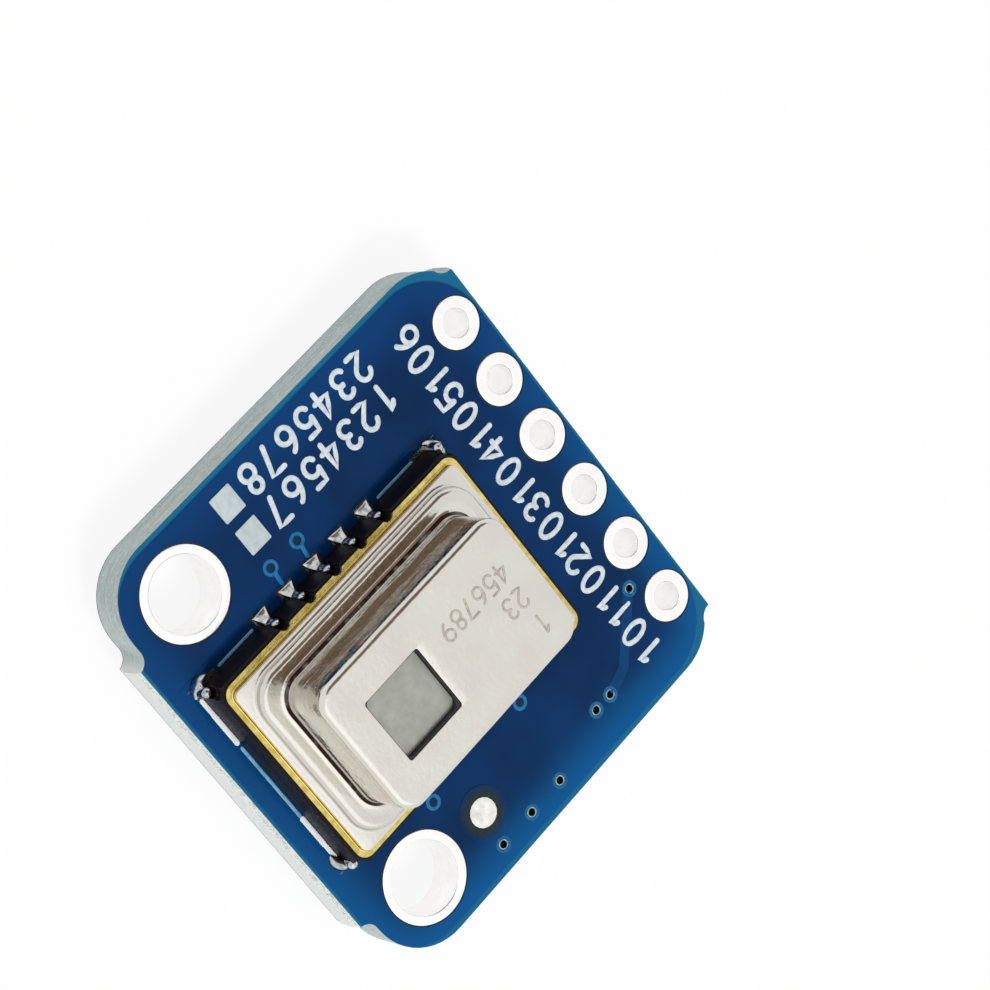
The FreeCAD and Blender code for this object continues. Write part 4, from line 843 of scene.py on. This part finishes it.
class MODULE_OT_cap(ModuleOperator, bpy.types.Operator):
    """Draw the two-tier cap from one sheet, with its soft bends, slight waves and square window"""
    bl_idname = "module.cap"
    bl_label = "Drawn cap"

    def build(self, scene):
        look = scene.sensor_look
        rows, bends = self.section(look)
        grid = loops(rows, corner=14, side=56)
        grid[:, :, :2] += np.array([SENSOR_MIDDLE.x, SENSOR_MIDDLE.y])
        grid = self.waved(grid, look.wave_depth)
        points, faces = closed_grid(grid, wrap=True)
        # Each point's share of painted shade, from its row.
        shade_weight = np.repeat(bends, grid.shape[1])
        piece("drawn_cap", [(points, faces)], FINISHES["cap_metal"], ["sensor_cap"], ("bend", shade_weight))

    def section(self, look):
        """Rows of the sheet from the flange's edge up over both tiers, through the window and back inside.

        Each row is a rounded rectangle; between two named rows its sizes run in even steps. The second
        list says how much painted shade each row takes, from none to one: most in the crease and the window's wall.
        """
        flange = (CAP_HIGH - CAP_LOW) / 2
        seat, sheet = CAP_LOW.z, look.sheet
        top = CAP_HIGH.z - look.wave_depth
        shoulder = (flange.x - look.shoulder_step, flange.y - look.shoulder_end, 1.15 * MM)
        tower = (shoulder[0] - look.tier_step, shoulder[1] - look.tier_step, 0.8 * MM)
        rows, bends = [], []

        def add(around, inset, height, bend=0.0, shift=0.0):
            half_width, half_length, radius = around
            rows.append((half_width - inset, half_length - inset, max(radius - inset, 0.01 * MM), height, shift))
            bends.append(bend)

        def curve(around, centre, radius, start, end, count, bend):
            """Part of a circle in the section; centre is (inset, height)."""
            for x, z in quarter((-centre[0], centre[1]), radius, start, end, count):
                add(around, -x, z, bend)

        # Radii of the flange's edge, the lower tier's foot, both upper edges, and the upper tier's foot.
        edge, foot, rounding, crease = 0.03 * MM, 0.12 * MM, 0.22 * MM, 0.28 * MM
        outer = (flange.x, flange.y, 0.3 * MM)
        curve(outer, (edge, seat + edge), edge, -90, 0, 4, 0.0)
        curve(outer, (edge, seat + sheet - edge), edge, 0, 90, 4, 0.0)
        shoulder_top = seat + look.shoulder_height
        curve(shoulder, (-foot, seat + sheet + foot), foot, 270, 180, 6, 0.05)
        curve(shoulder, (rounding, shoulder_top - rounding), rounding, 0, 90, 9, 0.04)
        # The lower tier's top falls slightly to the crease, whose middle takes the most painted shade.
        ledge = (0.26, 0.44)
        for inset in np.linspace(*ledge, 5):
            add(shoulder, inset * MM, shoulder_top - 0.01 * MM * (inset - ledge[0]), 0.06)
        crease_height = shoulder_top + crease - 0.01 * MM
        for start, end, count, bend in ((270, 243, 3, 0.0), (237, 213, 4, 0.95), (205, 180, 3, 0.12)):
            curve(tower, (-crease, crease_height), crease, start, end, count, bend)
        for height in np.linspace(shoulder_top + crease + 0.08 * MM, top - rounding - 0.1 * MM, 12):
            add(tower, 0.0, height, 0.1)
        curve(tower, (rounding, top - rounding), rounding, 0, 90, 12, 0.0)
        # Level from the top's edge to the window, over its rounded lip, and back along the inside of the sheet.
        window = (look.window / 2, look.window / 2, 0.1 * MM)
        inner_top = (tower[0] - rounding, tower[1] - rounding, tower[2] - rounding)
        self.span(rows, bends, inner_top, 0, window, -look.window_shift, top, 12)
        lip = 0.02 * MM
        for turn in np.linspace(0, 90, 4):
            sine, cosine = math.sin(math.radians(turn)), math.cos(math.radians(turn))
            add(window, lip * sine - lip, top - lip * (1 - cosine), 0.0, -look.window_shift)
        inside = top - sheet
        # Painted shade: the window's wall is darkened, and the inside of the sheet below it.
        add(window, 0.0, inside, 0.6, -look.window_shift)
        room = (tower[0] - sheet, tower[1] - sheet, tower[2] - sheet)
        self.span(rows, bends, window, -look.window_shift, room, 0, inside, 4)
        add(room, 0.0, shoulder_top - sheet, 0.5)
        wide = (shoulder[0] - sheet, shoulder[1] - sheet, shoulder[2] - sheet)
        add(wide, 0.0, shoulder_top - sheet, 0.5)
        add(wide, 0.0, seat, 0.0)
        return rows, np.array(bends)

    def span(self, rows, bends, first, first_shift, last, last_shift, height, count):
        """Level rows that run evenly from one rounded rectangle to another."""
        for share in np.linspace(0, 1, count + 2)[1:-1]:
            sizes = [a * (1 - share) + b * share for a, b in zip(first, last)]
            rows.append((*sizes, height, first_shift * (1 - share) + last_shift * share))
            bends.append(0.0)

    def waved(self, grid, depth):
        """Sink the sheet along its normal by a sum of long waves, as drawing leaves it, and never raise it.

        A wave is its height, its three rates in radians per millimetre, and its phase.
        """
        waves = (
            (1.0, 2.3, 1.1, 2.9, 0.0), (1.0, -1.4, 3.1, -1.7, 1.0),
            (0.6, 0.0, 5.3, 3.7, 2.0), (0.6, 4.7, 0.0, -2.9, 0.5),
        )
        along = np.roll(grid, -1, axis=1) - np.roll(grid, 1, axis=1)
        up = np.roll(grid, -1, axis=0) - np.roll(grid, 1, axis=0)
        normal = np.cross(along, up)
        normal /= np.linalg.norm(normal, axis=2)[:, :, None] + 1e-12
        x, y, z = (grid[:, :, k] / MM for k in range(3))
        wave = sum(high * np.sin(a * x + b * y + c * z + phase) for high, a, b, c, phase in waves)
        sink = depth * (0.5 + 0.5 * wave / sum(high for high, *_ in waves))
        outer = grid[:, :, 2] > CAP_LOW.z + 0.25 * MM
        return grid - normal * (sink * outer)[:, :, None]


class MODULE_OT_marks(ModuleOperator, bpy.types.Operator):
    """Mark plain numbers in the top of the cap, and the small dent in its flange"""
    bl_idname = "module.marks"
    bl_label = "Cap markings"

    def build(self, scene):
        look = scene.sensor_look
        header = HEADER_MIDDLE.y
        level, height = CAP_HIGH.z - look.wave_depth, look.wave_depth * 0.5
        shells = []
        for text, across, along, wide, tall in (
            ("456789", -1.2, -5.85, 0.42, 0.7), ("23", -0.1, -5.85, 0.42, 0.72), ("1", 1.1, -5.8, 0.45, 0.72),
        ):
            corner, glyph = (across * MM, header + along * MM), (wide * MM, tall * MM)
            shells += figures(text, corner, (0, -1), (1, 0), glyph, 0.54 * MM, look.mark_width, height, level)
        piece("cap_numbers", shells, FINISHES["laser_mark"])
        # Painted shade: the dent is a dark dot of the same dark metal.
        dent, radius = (-2.7 * MM, header - 4.55 * MM), 0.04 * MM
        pit = slab(radius, radius, radius, dent, CAP_LOW.z + look.sheet - 0.01 * MM, 0.012 * MM, 0.004 * MM)
        piece("flange_mark", [pit], FINISHES["dark_metal_painted_shade"])


class MODULE_OT_optics(ModuleOperator, bpy.types.Operator):
    """Squeeze the black bond out beside the lens, along two sides of the window, where it also stands as painted
    shade for the gap
    """
    bl_idname = "module.optics"
    bl_label = "Window bond"

    def build(self, scene):
        look = scene.sensor_look
        half, shift = look.window / 2, SENSOR_MIDDLE.y - look.window_shift
        low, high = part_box("lens")[1].z, CAP_HIGH.z - 2.4 * look.wave_depth
        lip, bevel = 0.04 * MM, 0.02 * MM
        outer = [self.loop((half, half), (0.1,) * 4, (0, shift), z) for z in (low, high - bevel)]
        # Painted shade: the inner loop is shifted, so the black bead shows widest on the far sides, where the
        # window's wall lies in shade.
        inner_half = (half - 0.05 * MM, half - 0.025 * MM)
        inner_middle = (-0.045 * MM, shift - 0.02 * MM)
        inner = [self.loop(inner_half, (0.34, 0.16, 0.2, 0.16), inner_middle, z) for z in (high, high - lip, low)]
        piece("window_bond_painted_shade", [closed_grid(np.array(outer + inner), wrap=True)], FINISHES["bond"])

    def loop(self, half, radii, middle, level):
        """Level rectangle with its own rounding at each corner, in millimetres."""
        flat = np.vstack(corner_arcs(half, np.array(radii) * MM, 8)) + np.array(middle)
        return np.column_stack([flat, np.full(len(flat), level)])


class MODULE_OT_joints(ModuleOperator, bpy.types.Operator):
    """Flow the sensor's solder joints: a concave fan on the land, and a bright rod up each notch"""
    bl_idname = "module.joints"
    bl_label = "Solder joints"

    def build(self, scene):
        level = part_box("sensor_lands")[1].z
        shells = []
        side_terminals, terminals = 10, 14
        for number in range(1, terminals + 1):
            low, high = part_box(f"terminal_{number:02d}")
            middle = (low + high) / 2
            right = middle.x > SENSOR_MIDDLE.x
            side = BASE_HIGH.x if right else BASE_LOW.x
            if number <= side_terminals:
                shells += [placed(shell, side, middle.y, level, 180 if right else 0) for shell in self.fan(number)]
                continue
            upper = middle.y > SENSOR_MIDDLE.y
            corner = BASE_HIGH.y if upper else BASE_LOW.y
            turn = {(False, False): 0, (True, False): 90, (True, True): 180, (False, True): 270}[right, upper]
            shells += [placed(shell, side, corner, level, turn) for shell in self.lump(number)]
        piece("solder_joints", shells, FINISHES["solder"], ["sensor_solder"])

    def fan(self, seed):
        """Side joint, X pointing inwards: its height follows a hollow curve up to the base, and its width narrows.

        Sizes are in millimetres; the seed shifts the reach and the path's sway a little from joint to joint.
        """
        share = np.linspace(0, 1, 26)
        reach = 0.36 + 0.02 * math.sin(seed * 2.1)
        path = np.column_stack([(-reach + share * (reach + 0.06)), 0.02 * np.sin(share * 3 + seed)]) * MM
        ends = np.clip(np.minimum(share, 1 - share) * 14, 0.02, 1) ** 0.5
        half_width = (0.33 - 0.16 * share ** 1.4) * ends * MM
        height = (0.05 + 0.11 * np.sin(share * 2.2) + 0.42 * share ** 2.6) * ends * MM
        return [
            bead(path, half_width, height, 0.0),
            column((0.06 * MM, 0.0), (0.13 * MM, 0.19 * MM), 0.0, 0.86 * MM),
        ]

    def lump(self, seed):
        """Corner joint, X and Y pointing inwards: a round ridge bent about the corner, and a rod in the notch."""
        share = np.linspace(0, 1, 40)
        path = np.column_stack([
            -0.2 - 0.04 * np.sin(math.pi * share) + 0.36 * share ** 3,
            0.58 - 0.9 * share + 0.1 * share ** 3 + 0.015 * np.sin(4 * share + seed),
        ]) * MM
        ends = np.sin(math.pi * np.clip(share, 0.02, 0.98)) ** 0.4
        half_width = (0.2 + 0.015 * np.sin(5 * share + seed)) * ends * MM
        height = (0.2 + 0.26 * np.exp(-((share - 0.62) / 0.24) ** 2)) * ends * MM
        return [
            bead(path, half_width, height, 0.0),
            column((0.03 * MM, 0.03 * MM), (0.19 * MM, 0.19 * MM), 0.0, 0.72 * MM),
        ]


class MODULE_OT_ring(ModuleOperator, bpy.types.Operator):
    """Lay the thin bright braze line where the cap's flange meets the gold ring"""
    bl_idname = "module.ring"
    bl_label = "Braze line"

    def build(self, scene):
        half = (CAP_HIGH - CAP_LOW) / 2
        reach = 0.03 * MM
        flat = rounded_loop(
            half.x + reach, half.y + reach, 0.33 * MM, (SENSOR_MIDDLE.x, SENSOR_MIDDLE.y), corner=12, side=40
        )
        piece("braze_line", [ribbon(flat, 0.07 * MM, 0.04 * MM, CAP_LOW.z, True)], FINISHES["braze"])


class MODULE_OT_edges(ModuleOperator, bpy.types.Operator):
    """Leave loose fibres on the snapped tab and the scored header edge"""
    bl_idname = "module.edges"
    bl_label = "Frayed edges"

    def build(self, scene):
        # Real filaments are about 0.01 mm thick; these are bundles, three times as thick so that they show.
        rng = np.random.default_rng(7)
        shells = []
        count, thick, proud = 260, 0.03 * MM, 0.012 * MM
        for sign, ends in ((-1, (-5.75, 5.98)), (1, (-7.7, 7.7))):
            edge = BOARD_HIGH.y if sign > 0 else BOARD_LOW.y
            across = rng.uniform(*ends, count) * MM
            depth = rng.uniform(0.02, 0.34, count)
            for x, drop in zip(across, depth):
                run = rng.uniform(0.04, 0.16) * MM
                start = np.array([x, edge - sign * 0.05 * MM * (1 - drop / 0.4)])
                end = start + np.array([run * rng.uniform(-1, 1), sign * proud])
                level = BOARD_HIGH.z - drop * MM - thick
                shells.append(ribbon(np.linspace(start, end, 5), thick, thick, level, steps=5))
        for points, _ in shells:
            points[:, 1] = np.clip(points[:, 1], cad_box[0][1], cad_box[1][1])
        piece("frayed_fibres", shells, FINISHES["fibres"])


class MODULE_OT_stage(ModuleOperator, bpy.types.Operator):
    """Lay the floor, light the room and set the camera where the photograph was taken"""
    bl_idname = "module.stage"
    bl_label = "Stage"

    def build(self, scene):
        look = scene.stage_look
        self.floor(scene, look)
        self.room(scene, look)
        self.lamps(scene, look)
        self.camera(scene, look)

    def floor(self, scene, look):
        """Wide flat disc, level with what the module stands on; its points run round circles.

        An eye below it looks through it, so that the module's underside can be seen too.
        """
        radius, thickness = 0.4, 0.002
        turn = np.linspace(0, 2 * math.pi, 97)[:-1]
        rim = np.column_stack([radius * np.cos(turn), radius * np.sin(turn)])
        grid = np.stack([np.column_stack([rim, np.full(len(rim), level)]) for level in (-thickness, 0.0)])
        points, faces = closed_grid(grid, poles=np.array([[0, 0, -thickness], [0, 0, 0]], float))
        mesh = bpy.data.meshes.new("floor")
        mesh.from_pydata(points.tolist(), [], [face for block in faces for face in block.tolist()])
        mesh.materials.append(self.paper(look))
        floor = bpy.data.objects.new("floor", mesh)
        scene.collection.objects.link(floor)

    def paper(self, look):
        """White paper: matt, with a faint tooth; the eye and polished metal see it nearly as bright as the room."""
        glowing = 0.9
        material = empty_material("white_paper_sweep")
        tooth = node(material, "TexNoise", {
            "Vector": place_of(material), "Scale": 1 / (0.4 * MM), "Detail": 3, "Roughness": SOFT,
        })
        matt = node(material, "BsdfDiffuse", {"Color": blend(material, tooth, look.floor, "#f6f6f5")})
        glow = node(material, "Emission", {"Color": "#ffffff", "Strength": 1.0})
        lit = node(material, "MixShader", {0: self.seen(material, glowing), 1: matt, 2: glow})
        facing = node(material, "SeparateXYZ", {0: node(material, "NewGeometry", give="True Normal")}, "Z")
        below = node(material, "Math", {0: facing, 1: 0.0}, operation="LESS_THAN")
        eye = node(material, "LightPath", give="Is Camera Ray")
        open_side = node(material, "Math", {0: below, 1: eye}, operation="MULTIPLY")
        clear = node(material, "BsdfTransparent")
        node(material, "OutputMaterial", {"Surface": node(material, "MixShader", {0: open_side, 1: lit, 2: clear})})
        return material

    def seen(self, material, share):
        """A share for rays that the eye, a polished surface or glass sends out, and none for the rest."""
        ray = node(material, "LightPath", give="Is Camera Ray")
        for other in ("Is Glossy Ray", "Is Transmission Ray"):
            ray = node(material, "Math", {0: ray, 1: node(material, "LightPath", give=other)}, operation="MAXIMUM")
        return node(material, "Math", {0: ray, 1: share}, operation="MULTIPLY")

    def room(self, scene, look):
        """White room, plain to the eye; polished metal sees a brown patch on one side and more light on another.

        Each of the two lies round its own direction, and fades out between two cosines of the angle from it.
        """
        brown_side, brown_from, brown_to = (-0.43, 0.35, 0.83), 0.87, 0.94
        light_side, light_from, light_to, light_gain = (0.375, -0.36, 0.855), 0.75, 0.95, 0.38
        world = bpy.data.worlds.new("room")
        scene.world = world
        world.use_nodes = True
        world.node_tree.nodes.clear()
        seen = self.seen(world, 1 - look.world_level)
        level = node(world, "Math", {0: seen, 1: look.world_level}, operation="ADD")
        direction = node(world, "TexCoord", give="Generated")
        towards, lifted = (
            node(world, "VectorMath", {0: direction, 1: side}, "Value", operation="DOT_PRODUCT")
            for side in (brown_side, light_side)
        )
        patch = node(world, "MapRange", {
            "Value": towards, "From Min": brown_from, "From Max": brown_to,
        }, interpolation_type="SMOOTHSTEP")
        mottle = node(world, "TexNoise", {"Vector": direction, "Scale": 1 / 0.12, "Detail": 1, "Roughness": SOFT})
        brown = blend(world, mottle, "#4f3b33", "#a8937f")
        eye = node(world, "LightPath", give="Is Camera Ray")
        unseen = node(world, "Math", {0: 1.0, 1: eye}, operation="SUBTRACT")
        share = node(world, "Math", {0: patch, 1: unseen}, operation="MULTIPLY")
        colour = node(world, "Mix", {0: share, 6: "#ffffff", 7: brown}, 2, data_type="RGBA")
        lobe = node(world, "MapRange", {
            "Value": lifted, "From Min": light_from, "From Max": light_to, "To Max": light_gain,
        }, interpolation_type="SMOOTHSTEP")
        total = node(world, "Math", {0: level, 1: lobe}, operation="ADD")
        light = node(world, "Background", {"Color": colour, "Strength": total})
        node(world, "OutputWorld", {"Surface": light})

    def lamps(self, scene, look):
        """Two round softboxes that face the module, each by its place and width in metres and its power."""
        lamps = (
            ("overhead_softbox", (0.17, -0.15, 0.48), 0.12, look.key_level),
            ("side_softbox", (-0.45, 0.2, 0.3), 0.3, look.key_level * 0.2),
        )
        for name, place, size, watts in lamps:
            data = bpy.data.lights.new(name, "AREA")
            data.shape = "DISK"
            data.size = size
            data.energy = watts
            lamp = bpy.data.objects.new(name, data)
            lamp.location = place
            lamp.rotation_mode = "QUATERNION"
            lamp.rotation_quaternion = (-Vector(place)).to_track_quat("-Z", "Y")
            lamp.visible_glossy = False
            scene.collection.objects.link(lamp)

    def camera(self, scene, look):
        """Camera fitted to the board's holes and edges, by its place and its own right, down and ahead."""
        eye = Vector((-43.8526, -36.2739, 100.3596)) * MM
        right = Vector((0.5729, 0.6349, 0.5184))
        down = Vector((0.7289, -0.6839, 0.0321))
        ahead = Vector((0.3749, 0.3594, -0.8545))
        data = bpy.data.cameras.new("photograph_view")
        data.sensor_width = 36
        data.lens = look.focal
        data.clip_start = 0.01
        camera = bpy.data.objects.new("photograph_view", data)
        camera.matrix_world = Matrix.Translation(eye) @ Matrix((right, -down, -ahead)).transposed().to_4x4()
        scene.collection.objects.link(camera)
        scene.camera = camera
        scene.view_settings.view_transform = "Standard"


class MODULE_PT_panel(bpy.types.Panel):
    """Steps that dress the module"""
    bl_idname = "MODULE_PT_panel"
    bl_label = "Infrared Array Module"
    bl_space_type = "VIEW_3D"
    bl_region_type = "UI"
    bl_category = "Module"

    def draw(self, context):
        for step in STEPS:
            self.layout.operator(step.bl_idname)
        for look in ("board_look", "sensor_look", "stage_look"):
            box = self.layout.box()
            group = getattr(context.scene, look)
            for name in group.__annotations__:
                box.prop(group, name)


LOOKS = {"board_look": BoardLook, "sensor_look": SensorLook, "stage_look": StageLook}
STEPS = (
    MODULE_OT_finishes, MODULE_OT_plating, MODULE_OT_vias, MODULE_OT_wells, MODULE_OT_printing, MODULE_OT_edges,
    MODULE_OT_ring, MODULE_OT_joints, MODULE_OT_cap, MODULE_OT_marks, MODULE_OT_optics, MODULE_OT_stage,
)


def register():
    for made in (*LOOKS.values(), *STEPS, MODULE_PT_panel):
        bpy.utils.register_class(made)
    for name, group in LOOKS.items():
        setattr(bpy.types.Scene, name, PointerProperty(type=group))


def unregister():
    for name in LOOKS:
        delattr(bpy.types.Scene, name)
    for made in reversed((*LOOKS.values(), *STEPS, MODULE_PT_panel)):
        bpy.utils.unregister_class(made)


def main():
    register()
    for step in STEPS:
        group, name = step.bl_idname.split(".")
        getattr(getattr(bpy.ops, group), name)()


if __name__ == "__main__":
    main()
